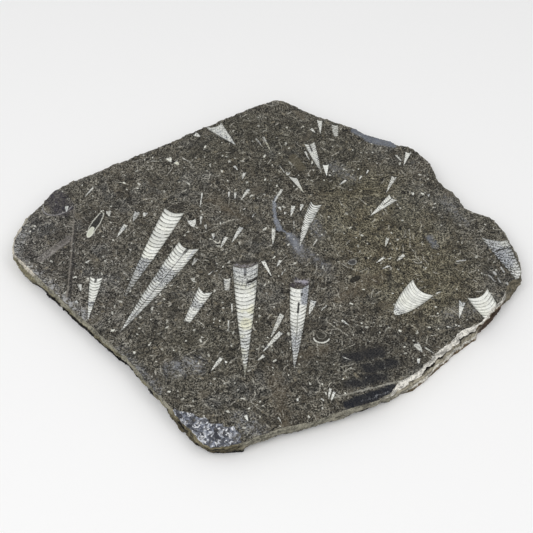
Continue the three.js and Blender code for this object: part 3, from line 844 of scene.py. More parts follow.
class Field:
    # A number, colour or vector that changes over the surface. Arithmetic on it adds Math nodes.
    def __init__(self, tree, socket):
        self.tree = tree
        self.socket = socket

    def math(self, operation, *others):
        return mathNode(self.tree, self, operation, *others)

    def __add__(self, other):
        return self.math("ADD", other)

    def __sub__(self, other):
        return self.math("SUBTRACT", other)

    def __mul__(self, other):
        return self.math("MULTIPLY", other)

    def __truediv__(self, other):
        return self.math("DIVIDE", other)

    def __pow__(self, other):
        return self.math("POWER", other)

    def inverse(self):
        return mathNode(self.tree, 1.0, "SUBTRACT", self)

    def least(self, other):
        return self.math("MINIMUM", other)

    def most(self, other):
        return self.math("MAXIMUM", other)

    def size(self):
        return self.math("ABSOLUTE")

    def step(self, low, high, first=0.0, last=1.0):
        # Goes smoothly from first to last as the number goes from low to high
        made = addNode(self.tree, "ShaderNodeMapRange", interpolation_type="SMOOTHSTEP")
        for slot, value in zip(("Value", "From Min", "From Max", "To Min", "To Max"),
                               (self, low, high, first, last)):
            plug(made.inputs[slot], value)
        return Field(self.tree, made.outputs["Result"])


def addNode(tree, kind, **settings):
    made = tree.nodes.new(kind)
    place = len(tree.nodes)
    made.location = (220 * (place // 8), -190 * (place % 8))
    for name, value in settings.items():
        setattr(made, name, value)
    return made


def plug(slot, value):
    if isinstance(value, Field):
        value.tree.links.new(value.socket, slot)
    else:
        slot.default_value = value


def mathNode(tree, first, operation, *others):
    made = addNode(tree, "ShaderNodeMath", operation=operation)
    for slot, value in zip(made.inputs, (first, *others)):
        plug(slot, value)
    return Field(tree, made.outputs[0])


def vectorMath(operation, first, *others, output="Vector", scale=None):
    tree = first.tree
    made = addNode(tree, "ShaderNodeVectorMath", operation=operation)
    for slot, value in zip(made.inputs, (first, *others)):
        plug(slot, value)
    if scale is not None:
        plug(made.inputs["Scale"], scale)
    return Field(tree, made.outputs[output])


def parts(field):
    made = addNode(field.tree, "ShaderNodeSeparateXYZ")
    plug(made.inputs[0], field)
    return [Field(field.tree, made.outputs[axis]) for axis in range(3)]


def joined(tree, x, y, z=0.0):
    made = addNode(tree, "ShaderNodeCombineXYZ")
    for slot, value in zip(made.inputs, (x, y, z)):
        plug(slot, value)
    return Field(tree, made.outputs[0])


def noise(place, scale, detail=2.0, rough=0.5, warp=0.0, output="Fac", dimensions="3D"):
    made = addNode(place.tree, "ShaderNodeTexNoise", noise_dimensions=dimensions)
    for name, value in (("Vector", place), ("Scale", scale), ("Detail", detail), ("Roughness", rough),
                        ("Distortion", warp)):
        plug(made.inputs[name], value)
    return Field(place.tree, made.outputs[output])


def cells(place, scale, dimensions="2D", randomness=1.0):
    made = addNode(place.tree, "ShaderNodeTexVoronoi", voronoi_dimensions=dimensions)
    plug(made.inputs["Vector"], place)
    plug(made.inputs["Scale"], scale)
    plug(made.inputs["Randomness"], randomness)
    return {name: Field(place.tree, made.outputs[name]) for name in ("Distance", "Color", "Position")}


def turned(place, angle):
    made = addNode(place.tree, "ShaderNodeVectorRotate", rotation_type="Z_AXIS")
    plug(made.inputs["Vector"], place)
    plug(made.inputs["Angle"], angle)
    return Field(place.tree, made.outputs[0])


def blend(share, first, second):
    # The first colour where share is 0, the second where it is 1
    made = addNode(share.tree, "ShaderNodeMix", data_type="RGBA")
    for slot, value in zip((0, 6, 7), (share, first, second)):
        plug(made.inputs[slot], value)
    return Field(share.tree, made.outputs[2])


def after(colour, place):
    # The same place, but only known once the colour is: keeps a long shader's stages one behind another
    return vectorMath("MULTIPLY_ADD", colour, (0.0, 0.0, 0.0), place)


def seen(colour):
    return (*toLinear(colour), 1.0)


def shifted(place, *offset):
    return vectorMath("ADD", place, (*offset, 0.0))


def pushed(place, shake, size):
    return vectorMath("ADD", place, vectorMath("SCALE", shake, scale=size))


def evenShake(place, *settings):
    # A noise's three channels, each moved to run from about -0.5 to 0.5
    return vectorMath("SUBTRACT", noise(place, *settings, output="Color"), (0.5, 0.5, 0.5))


def inMillimetres(tree):
    coordinates = addNode(tree, "ShaderNodeTexCoord")
    return vectorMath("SCALE", Field(tree, coordinates.outputs["Object"]), scale=1 / mm)


def attribute(tree, name, output="Vector"):
    made = addNode(tree, "ShaderNodeAttribute", attribute_type="GEOMETRY", attribute_name=name)
    return Field(tree, made.outputs[output])


def newGroup(name, outputs, **inputs):
    # A shader node group with named outputs (name: kind) and inputs (name: default)
    tree = bpy.data.node_groups.new(name, "ShaderNodeTree")
    for label, value in inputs.items():
        kind = "NodeSocketVector" if isinstance(value, tuple) else "NodeSocketFloat"
        tree.interface.new_socket(label, in_out="INPUT", socket_type=kind).default_value = value
    for label, kind in outputs.items():
        tree.interface.new_socket(label, in_out="OUTPUT", socket_type="NodeSocket" + kind)
    entry = addNode(tree, "NodeGroupInput")
    given = {label: Field(tree, entry.outputs[label]) for label in inputs}
    return tree, given


def putOut(tree, **results):
    leave = addNode(tree, "NodeGroupOutput")
    for label, value in results.items():
        plug(leave.inputs[label], value)


def useGroup(tree, group, **values):
    made = addNode(tree, "ShaderNodeGroup", node_tree=group)
    for label, value in values.items():
        plug(made.inputs[label], value)
    return {socket.name: Field(tree, socket) for socket in made.outputs}


def strokeMask(tree, stroke, place, start, end, width, soft):
    # A soft stroke on the polished face, from one point of the outline's coordinates to another
    top = slab["thickness"]
    return useGroup(tree, stroke, Place=place, Start=(*fromCentre(start), top),
                    End=(*fromCentre(end), top), Width=width, Soft=soft)["Mask"]


origin = (0.0, 0.0, 0.0)


def makeStreaks():
    # Short strokes that lie one way in each small fragment of stone and another way in the next
    tree, given = newGroup("stoneStreaks", {"Value": "Float"}, Place=origin, Cell=7.0, Length=3.0,
                           Width=0.7)
    fragment = cells(given["Place"], mathNode(tree, 1.0, "DIVIDE", given["Cell"]))
    local = vectorMath("SUBTRACT", given["Place"], fragment["Position"])
    red, green, blue = parts(fragment["Color"])
    local = turned(local, red * (2 * math.pi))
    x, y, _ = parts(local)
    stretched = joined(tree, x / given["Length"] + green * 40, y / given["Width"] + blue * 40)
    putOut(tree, Value=noise(stretched, 1.0, 2.0, 0.55, dimensions="2D"))
    return tree


def makeStamps():
    # Scattered shells: one bent oval in some of the cells, each turned and sized its own way
    tree, given = newGroup("shellStamps", {"Mask": "Float", "Tone": "Float"}, Place=origin, Cell=10.0,
                           Chance=0.5, Length=4.0, Width=0.6, Bend=0.0, Soft=0.25)
    cell = cells(given["Place"], mathNode(tree, 1.0, "DIVIDE", given["Cell"]), randomness=0.8)
    local = vectorMath("SUBTRACT", given["Place"], cell["Position"])
    red, green, blue = parts(cell["Color"])
    x, y, _ = parts(turned(local, red * (2 * math.pi)))
    scale = (green * 7.31).math("FRACT") * 0.65 + 0.35
    y = y + x * x * given["Bend"]
    far = ((x / (given["Length"] * scale)) ** 2 + (y / given["Width"]) ** 2).math("SQRT")
    chosen = mathNode(tree, given["Chance"], "GREATER_THAN", blue)
    mask = far.step(given["Soft"].inverse(), 1.0, 1.0, 0.0) * chosen
    putOut(tree, Mask=mask, Tone=(blue * 13.7).math("FRACT"))
    return tree


def makeStroke():
    # A soft stripe from one point to another
    tree, given = newGroup("softStroke", {"Mask": "Float"}, Place=origin, Start=origin,
                           End=(0.0, 1.0, 0.0), Width=4.0, Soft=1.0)
    way = vectorMath("SUBTRACT", given["End"], given["Start"])
    offset = vectorMath("SUBTRACT", given["Place"], given["Start"])
    share = vectorMath("DOT_PRODUCT", offset, way, output="Value")
    share = share / vectorMath("DOT_PRODUCT", way, way, output="Value")
    share = share.most(0.0).least(1.0)
    near = vectorMath("SCALE", way, scale=share)
    distance = vectorMath("LENGTH", vectorMath("SUBTRACT", offset, near), output="Value")
    half = given["Width"] * 0.5
    putOut(tree, Mask=distance.step(half - given["Soft"], half + given["Soft"], 1.0, 0.0))
    return tree


def makeArc():
    # Part of an oval ring, and the oval's inside: an oval turned by Turn, drawn from Start through Sweep
    tree, given = newGroup("shellArc", {"Mask": "Float", "Inside": "Float"}, Place=origin,
                           Middle=origin, Turn=0.0, Radius=5.0, Squash=1.0, Width=0.8, Start=0.0,
                           Sweep=6.3)
    local = vectorMath("SUBTRACT", given["Place"], given["Middle"])
    x, y, _ = parts(turned(local, given["Turn"] * -1.0))
    y = y / given["Squash"]
    far = (x * x + y * y).math("SQRT")
    angle = y.math("ARCTAN2", x) - given["Start"] + 4 * math.pi
    angle = angle.math("MODULO", 2 * math.pi)
    half = given["Width"] * 0.5
    steep = y / given["Squash"]
    steep = (x * x + steep * steep).math("SQRT") / far.most(0.01)  # how fast far grows, across the ring
    fromRing = (far - given["Radius"]).size() / steep
    ring = (fromRing - half).step(-0.25, 0.25, 1.0, 0.0)
    mask = ring * (given["Sweep"] - angle).step(-0.02, 0.25) * angle.step(0.0, 0.2)
    putOut(tree, Mask=mask, Inside=(far - given["Radius"]).step(-0.4, 0.1, 1.0, 0.0))
    return tree


# Veins and stains of the polished face: colour, strength, softness, how much they wander, how grainy
# they are (speckle), and strokes as start, end, width.
markingDefaults = {"soft": 0.5, "wander": "fine", "speckle": 0.3}
markings = [
    {"name": "vein shadow", "colour": (40, 38, 38), "strength": 0.7, "soft": 1.0,
     "strokes": [((-168.5, 48), (-166.5, 8), 2.6), ((-166.5, 8), (-165, -34), 3.0)]},
    {"name": "left vein", "colour": (142, 136, 128), "strength": 0.7,
     "strokes": [((-171.5, 66), (-168.5, 8), 1.2), ((-168.5, 8), (-167, -34), 1.5)]},
    {"name": "left smear", "colour": (136, 131, 128), "strength": 0.5, "soft": 1.6, "speckle": 0.4,
     "strokes": [((-194, 8), (-172, 31), 6)]},
    {"name": "smear streaks", "colour": (160, 155, 152), "strength": 0.5, "soft": 0.6, "speckle": 0.5,
     "strokes": [((-197, 9), (-178, 29), 1.0), ((-193, 6), (-172, 28), 1.2),
                 ((-190, 10), (-170, 32), 1.0)]},
    {"name": "blue vein", "colour": (140, 146, 158), "strength": 0.85, "soft": 0.7, "wander": "loose",
     "speckle": 0.35,
     "strokes": [((6.5, 74), (8, 52), 3.0), ((8, 52), (11, 42), 4.6), ((11, 42), (20, 35), 2.2),
                 ((6.5, 74), (12, 85), 1.6)]},
    {"name": "vein end", "colour": (140, 145, 155), "strength": 0.8, "soft": 1.8, "wander": "loose",
     "speckle": 0.45, "strokes": [((20, 34), (28, 20), 6.5)]},
    {"name": "blue halo", "colour": (128, 130, 136), "strength": 0.6, "soft": 4.0, "wander": "loose",
     "speckle": 0.85,
     "strokes": [((24, 30), (30, 12), 12), ((42, 50), (46, 34), 9), ((34, 16), (52, -2), 8)]},
    {"name": "far edge blue", "colour": (116, 122, 134), "strength": 0.85, "soft": 1.4,
     "wander": "loose", "strokes": [((83, 163), (94, 155), 6.5), ((96, 152), (118, 145), 8)]},
    {"name": "purple corner", "colour": (58, 55, 64), "strength": 0.75, "soft": 3.0, "wander": "loose",
     "speckle": 0.5, "strokes": [((-190, 78), (-182, 66), 20)]},
    {"name": "dark seam", "colour": (24, 27, 35), "strength": 0.97, "soft": 1.2, "wander": "loose",
     "speckle": 0.1, "strokes": [((64, -137), (84, -129), 9.5), ((84, -129), (100, -121.5), 8)]},
    {"name": "seam chips", "colour": (150, 152, 156), "strength": 0.6, "wander": "wild", "speckle": 0.9,
     "strokes": [((74, -134), (96, -125), 1.6)]},
    {"name": "dark pool", "colour": (28, 29, 34), "strength": 0.9, "soft": 3.0, "wander": "wild",
     "speckle": 0.15,
     "strokes": [((66, -118), (94, -111), 10), ((66, -93), (92, -88), 12),
                 ((80, -104), (102, -98), 10)]},
    {"name": "seam light", "colour": (170, 168, 158), "strength": 0.75, "speckle": 0.4,
     "strokes": [((50, -131), (80, -122.5), 1.6), ((80, -122.5), (108, -115), 1.6)]},
    {"name": "blue grey blotch", "colour": (120, 126, 138), "strength": 0.6, "soft": 2.0,
     "wander": "loose", "speckle": 0.6, "strokes": [((143, 31), (146, 24), 7)]},
    {"name": "brown block", "colour": (96, 90, 74), "strength": 0.8, "soft": 0.8,
     "strokes": [((25, 128), (32, 115), 8.5)]},
    {"name": "left corner crumbs", "colour": (190, 191, 192), "strength": 0.75, "soft": 5.0,
     "wander": "wild", "speckle": 0.95,
     "strokes": [((-217, 8), (-215, 42), 8), ((-210, 0), (-180, -26), 10),
                 ((-180, -26), (-150, -52), 8)]},
    {"name": "lower left crumbs", "colour": (168, 171, 178), "strength": 0.48, "soft": 7.0,
     "wander": "wild", "speckle": 0.9,
     "strokes": [((-120, -88), (-86, -124), 8), ((-74, -104), (-56, -98), 14),
                 ((-20, -150), (-8, -160), 10)]},
    {"name": "right side crumbs", "colour": (138, 140, 144), "strength": 0.5, "soft": 7.0,
     "wander": "wild", "speckle": 0.9,
     "strokes": [((160, 78), (176, 50), 8), ((60, 118), (76, 104), 10), ((150, -50), (172, -44), 8)]},
    {"name": "right scratches", "colour": (34, 31, 29), "strength": 0.8,
     "strokes": [((171, 12), (183, -2), 1.1), ((183, -2), (188, -12), 1.0)]},
    {"name": "right dashes", "colour": (200, 201, 199), "strength": 0.85, "soft": 0.4, "speckle": 0.2,
     "strokes": [((200.5, -1), (202.5, -6), 1.2), ((193.8, -6), (195, -8), 2.0),
                 ((189, -9), (194, -16), 1.0), ((196.5, -12), (198, -17), 1.0),
                 ((203.5, -17), (204, -23), 1.3), ((163, 5.5), (171, 7), 1.2)]},
    {"name": "mouth shade", "colour": (44, 41, 38), "strength": 0.8, "soft": 2.0,
     "strokes": [((-27, 4), (-10, 6), 5), ((-88, 69), (-76, 66), 4.5), ((-74, 31), (-61, 25), 4)]},
    {"name": "purple mouth", "colour": (70, 64, 70), "strength": 0.7, "soft": 2.0,
     "strokes": [((22, -20), (33, -19), 5)]},
    {"name": "mouth crumbs", "colour": (176, 172, 184), "strength": 0.75, "soft": 1.6, "wander": "wild",
     "speckle": 0.8, "strokes": [((26, -15), (33, -16), 5), ((-26, 1), (-8, 2), 2.5)]},
    {"name": "brown haze", "colour": (104, 93, 76), "strength": 0.5, "soft": 5.0, "wander": "wild",
     "speckle": 0.6,
     "strokes": [((8, -112), (12, -150), 9), ((24, -92), (48, -84), 8), ((-50, 78), (-20, 52), 8),
                 ((60, -34), (96, -10), 10)]},
    {"name": "pale threads", "colour": (212, 209, 196), "strength": 0.95, "soft": 0.35,
     "wander": "loose", "speckle": 0.4,
     "strokes": [((126, 41), (125, 21), 0.8), ((127, 18), (132, 4), 0.8), ((136, 51), (135, 8), 0.7),
                 ((-48, 46), (-20, 56), 0.8), ((-64, 34), (-40, 46), 0.7), ((-40, 95), (-15, 70), 0.7),
                 ((48, -56), (66, -72), 0.8), ((38, -64), (42, -92), 0.7), ((55, -88), (72, -80), 0.7),
                 ((52, 40), (62, 10), 0.6), ((-140, 100), (-120, 92), 0.7), ((60, 6), (84, -8), 0.7)]},
]

stoneFace = {
    "olive": (88, 84, 73), "brown": (82, 76, 65), "purple": (88, 86, 89), "slate": (96, 99, 102),
    "light": (148, 144, 132), "dark": (42, 40, 36), "pale shell": (190, 187, 176),
    "white": (232, 232, 222), "beige": (150, 141, 120), "black": (14, 13, 12),
    "brown pale": (106, 99, 86), "bright grain": (164, 160, 147),
    "purpleSide": (-90.0, -180.0),  # the ground turns purple between these places, going left
    "warp": 5.0,                    # how far the ground's patterns are pushed about
    "crumble": 2.6,                 # and the scattered shells' edges
    "tintSoft": 25.0,
    "fill": 0.85,                   # how strong the inside of a filled curl is
    "gloss": (0.24, 0.36),          # roughness between the grains and on them
    "specular": 0.24,
}

# Noises of the ground, each as scale, detail, roughness and warp.
stoneNoise = {
    "shake": (0.09, 2.0), "broad": (0.014, 3.0, 0.55), "middling": (0.075, 3.0, 0.6),
    "left side": (0.02, 2.0), "clouds": (0.03, 3.0, 0.6), "clots": (0.2, 4.0, 0.62, 0.8),
    "blots": (0.1, 3.0, 0.6, 1.2), "grain": (0.75, 2.0, 0.65), "lumps": (0.34, 2.0, 0.6),
    "crumbs": (0.8, 2.0),
}
# Streaky fragments: cell, length, width.
stoneStreaks = {"fibres": (30.0, 14.0, 1.6), "coarse": (12.0, 5.0, 1.5), "fine": (5.4, 2.3, 0.9)}

# The ground's layers of tone, from the lowest up: pattern, from, to, strength, tone, in patches.
groundLayers = [
    ("clots", 0.52, 0.66, 0.5, "light", True), ("fibres", 0.5, 0.64, 0.5, "brown pale", False),
    ("fibres", 0.48, 0.36, 0.65, "dark", False), ("clots", 0.5, 0.37, 0.8, "dark", False),
    ("coarse", 0.55, 0.67, 0.55, "light", True), ("coarse", 0.47, 0.35, 0.75, "black", False),
    ("fine", 0.57, 0.69, 0.8, "light", True), ("fine", 0.46, 0.34, 0.92, "black", False),
    ("grain", 0.57, 0.65, 0.9, "bright grain", True), ("grain", 0.44, 0.36, 0.92, "black", False),
    ("blots", 0.6, 0.68, 0.6, "dark", False),
]

# Hairlines: scale, half width as a share of the noise, tone, strength, shift of the pattern.
hairlines = [
    (0.09, 0.009, "dark", 0.9, 11.0), (0.12, 0.008, "pale shell", 0.7, 57.0),
    (0.21, 0.012, "pale shell", 0.6, 131.0), (0.18, 0.014, "black", 0.8, 211.0),
]

# Broad regions of another tone: start, end, width, and what multiplies the colour.
groundTints = [
    ((88.9, 65.8), (128.9, -14.2), 90.0, (1.13, 1.1, 0.94)),
    ((-31.1, 150.8), (48.9, 125.8), 84.0, (0.8, 0.8, 0.77)),
    ((38.9, -99.2), (98.9, -79.2), 50.0, (0.78, 0.79, 0.8)),
    ((-181.1, 25.8), (-121.1, -34.2), 70.0, (1.04, 1.05, 1.1)),
    ((-61.1, -84.2), (-31.1, -84.2), 50.0, (0.86, 0.86, 0.84)),
]

# Scattered shells of the polished face, from the largest down: cell, chance, length, width, bend,
# colour, strength.
stampLayers = [
    (30.0, 0.5, 11.0, 3.6, 0.02, "brown pale", 0.4), (23.0, 0.5, 8.0, 2.4, 0.03, "dark", 0.65),
    (19.0, 0.5, 8.5, 0.45, 0.03, "pale shell", 0.7), (13.0, 0.5, 4.6, 1.3, 0.04, "dark", 0.8),
    (12.0, 0.4, 4.6, 0.5, 0.05, "pale shell", 0.8), (9.0, 0.2, 2.4, 0.9, 0.06, "beige", 0.6),
    (9.6, 0.4, 3.0, 1.3, 0.08, "black", 0.9), (12.5, 0.26, 2.4, 0.9, 0.06, "white", 0.9),
    (6.8, 0.18, 1.0, 0.75, 0.0, "white", 0.95), (4.4, 0.24, 1.0, 0.75, 0.0, "black", 0.75),
]

# How far each kind of marking wanders from its stroke: in broad waves, in fine crumbs.
wanderSizes = {"fine": (2.5, 1.6), "loose": (4.5, 3.2), "wild": (10.0, 6.0)}


def makeStoneFace(streaks, stamps, stroke, arc):
    # The polished limestone: mottled ground, streaky fragments, scattered shells, veins and stains
    tree, given = newGroup("limestoneFace", {"Color": "Color", "Gloss": "Float"}, Place=origin)
    place = given["Place"]
    tones = tonesOf(stoneFace)
    shake = evenShake(place, *stoneNoise["shake"])
    warped = pushed(place, shake, stoneFace["warp"])
    broad = noise(place, *stoneNoise["broad"])
    middling = noise(warped, *stoneNoise["middling"])
    ground = blend(broad.step(0.42, 0.6), tones["olive"], tones["brown"])
    leftSide = parts(place)[0] + noise(place, *stoneNoise["left side"]) * 120
    ground = blend(leftSide.step(*stoneFace["purpleSide"]) * 0.8, ground, tones["purple"])
    clouds = noise(shifted(warped, 900.0, 0.0), *stoneNoise["clouds"]).step(0.54, 0.66)
    colour = blend(clouds * 0.55, ground, tones["slate"])

    patterns = {name: useGroup(tree, streaks, Place=warped, Cell=cell, Length=length, Width=width)["Value"]
                for name, (cell, length, width) in stoneStreaks.items()}
    patterns["clots"] = noise(warped, *stoneNoise["clots"])
    patterns["blots"] = noise(shifted(place, 400.0, 90.0), *stoneNoise["blots"])
    grain = patterns["grain"] = noise(place, *stoneNoise["grain"])
    lumps = noise(place, *stoneNoise["lumps"]).step(0.52, 0.6)
    patchy = middling.step(0.36, 0.6, 0.25, 1.0)
    for name, low, high, strength, tone, inPatches in groundLayers:
        share = patterns[name].step(low, high) * strength
        colour = blend(share * patchy if inPatches else share, colour, tones[tone])
    for scale, half, tone, strength, shift in hairlines:
        moved = shifted(after(colour, place), shift, shift * 1.7)
        line = (noise(moved, scale, 1.0, 0.5, 0.9) - 0.5).size().step(half * 0.4, half * 1.6, 1.0, 0.0)
        shown = noise(moved, scale * 1.3, 1.0).step(0.53, 0.6)
        colour = blend(line * shown * strength, colour, tones[tone])
    for start, end, width, tint in groundTints:
        found = strokeMask(tree, stroke, after(colour, warped), start, end, width, stoneFace["tintSoft"])
        colour = blend(found, colour, vectorMath("MULTIPLY", colour, tint))

    crumbs = evenShake(place, *stoneNoise["crumbs"])
    crumbled = pushed(warped, crumbs, stoneFace["crumble"])
    for order, (cell, likely, length, width, bend, tone, strength) in enumerate(stampLayers):
        moved = shifted(after(colour, crumbled), 37.0 * order, 91.0 * order)
        stamp = useGroup(tree, stamps, Place=moved, Cell=cell, Chance=likely, Length=length,
                         Width=width, Bend=bend)
        colour = blend(stamp["Mask"] * (stamp["Tone"] * 0.6 + 0.4) * strength, colour, tones[tone])
    wanders = {name: pushed(pushed(place, shake, far), crumbs, near)
               for name, (far, near) in wanderSizes.items()}
    for marking in markings:
        marking = {**markingDefaults, **marking}
        moved = after(colour, wanders[marking["wander"]])
        mask = None
        for start, end, width in marking["strokes"]:
            found = strokeMask(tree, stroke, moved, start, end, width, marking["soft"])
            mask = found if mask is None else mask.most(found)
        grains = lumps.most(grain.step(0.54, 0.62)) * marking["speckle"] + (1 - marking["speckle"])
        colour = blend(mask * grains * marking["strength"], colour, seen(marking["colour"]))
    for curl in curls:
        curl = {**curlDefaults, **curl}
        middle = (*fromCentre(curl["middle"]), slab["thickness"])
        turn, start, sweep = (math.radians(curl[key]) for key in ("turn", "start", "sweep"))
        drawn = useGroup(tree, arc, Place=after(colour, wanders["fine"]), Middle=middle, Turn=turn,
                         Radius=curl["radius"], Squash=curl["squash"], Width=curl["width"], Start=start,
                         Sweep=sweep)
        if curl["fill"]:
            colour = blend(drawn["Inside"] * stoneFace["fill"], colour, seen(curl["fill"]))
        colour = blend(drawn["Mask"] * curl["strength"], colour, seen(curl["colour"]))
    putOut(tree, Color=colour, Gloss=grain.step(0.3, 0.8, *stoneFace["gloss"]))
    return tree


def newMaterial(name):
    made = bpy.data.materials.new(name)
    made.use_nodes = True
    tree = made.node_tree
    return made, tree, tree.nodes["Principled BSDF"]


def setSurface(shader, look, colour, roughness, height=None):
    # look holds the shine and, with a height, the strength of the fine relief and its depth in mm
    plug(shader.inputs["Base Color"], colour)
    plug(shader.inputs["Roughness"], roughness)
    plug(shader.inputs["Specular IOR Level"], look["specular"])
    if height:
        strength, depth = look["relief"]
        relief = addNode(height.tree, "ShaderNodeBump")
        plug(relief.inputs["Strength"], strength)
        plug(relief.inputs["Distance"], depth * mm)
        plug(relief.inputs["Height"], height)
        plug(shader.inputs["Normal"], Field(height.tree, relief.outputs["Normal"]))


def tonesOf(look):
    # The colours among a finish's settings, ready for the nodes
    return {name: seen(value) for name, value in look.items() if np.size(value) == 3}


def polishedLimestone(stone):
    made, tree, shader = newMaterial("polishedLimestone")
    look = useGroup(tree, stone, Place=inMillimetres(tree))
    setSurface(shader, stoneFace, look["Color"], look["Gloss"])
    return made


calcite = {
    "white": (252, 253, 246), "warm": (246, 243, 208), "blue": (140, 148, 164), "septum": (56, 54, 47),
    "siphon": (40, 38, 35), "smudge": (96, 98, 99), "edge": (128, 129, 121),
    "black": (20, 19, 20), "bluish": (172, 177, 188),
    "septumHalf": 0.36,   # half the width of a chamber wall's line, in mm
}

# Noises of the cones, each as scale, detail and roughness.
calciteNoise = {
    "fine": (0.9, 3.0, 0.6), "broad": (0.28, 3.0, 0.6), "walls": (0.24, 2.0), "warm": (0.07, 2.0),
    "grains": (0.75, 2.0, 0.7), "blue": (0.13, 2.0),
}

# Damage drawn over the cones: start, end, width, softness, colour, strength, and how broken up, where
# less than 0 takes the gaps of the same grains.
wounds = [
    ((-27, -3), (-10, -4), 9.0, 3.0, "bluish", 0.3, 0.6),
    ((-15.5, -17.5), (-7, -12), 2.2, 0.4, "black", 1.0, 0.0),
    ((-16, -13), (-17.5, -22), 0.8, 0.35, "black", 0.8, 0.4),
    ((32.5, -20), (31.5, -38), 6.0, 1.2, "bluish", 0.85, 0.5),
    ((32, -21), (32, -38), 6.0, 1.6, "black", 0.75, -0.9),
    ((29.6, -29), (29.4, -31), 1.6, 0.4, "black", 0.9, 0.0),
    ((22, -22), (31, -21), 3.0, 1.0, "black", 0.6, -0.7),
    ((27, -38.5), (26, -48.5), 1.7, 0.4, "black", 0.95, 0.0),
    ((26, -50), (24.3, -76), 1.0, 0.5, "edge", 0.8, 0.2),
    ((196, 28), (207, 2), 9.0, 3.0, "bluish", 0.45, 0.6),
    ((195, 24), (208, -4), 8.0, 3.0, "black", 0.8, -1.0),
    ((199, 17.5), (212, 21), 1.4, 0.4, "black", 0.95, 0.0),
    ((-60, 22), (-68, 8), 1.6, 0.5, "bluish", 0.6, 0.5),
]


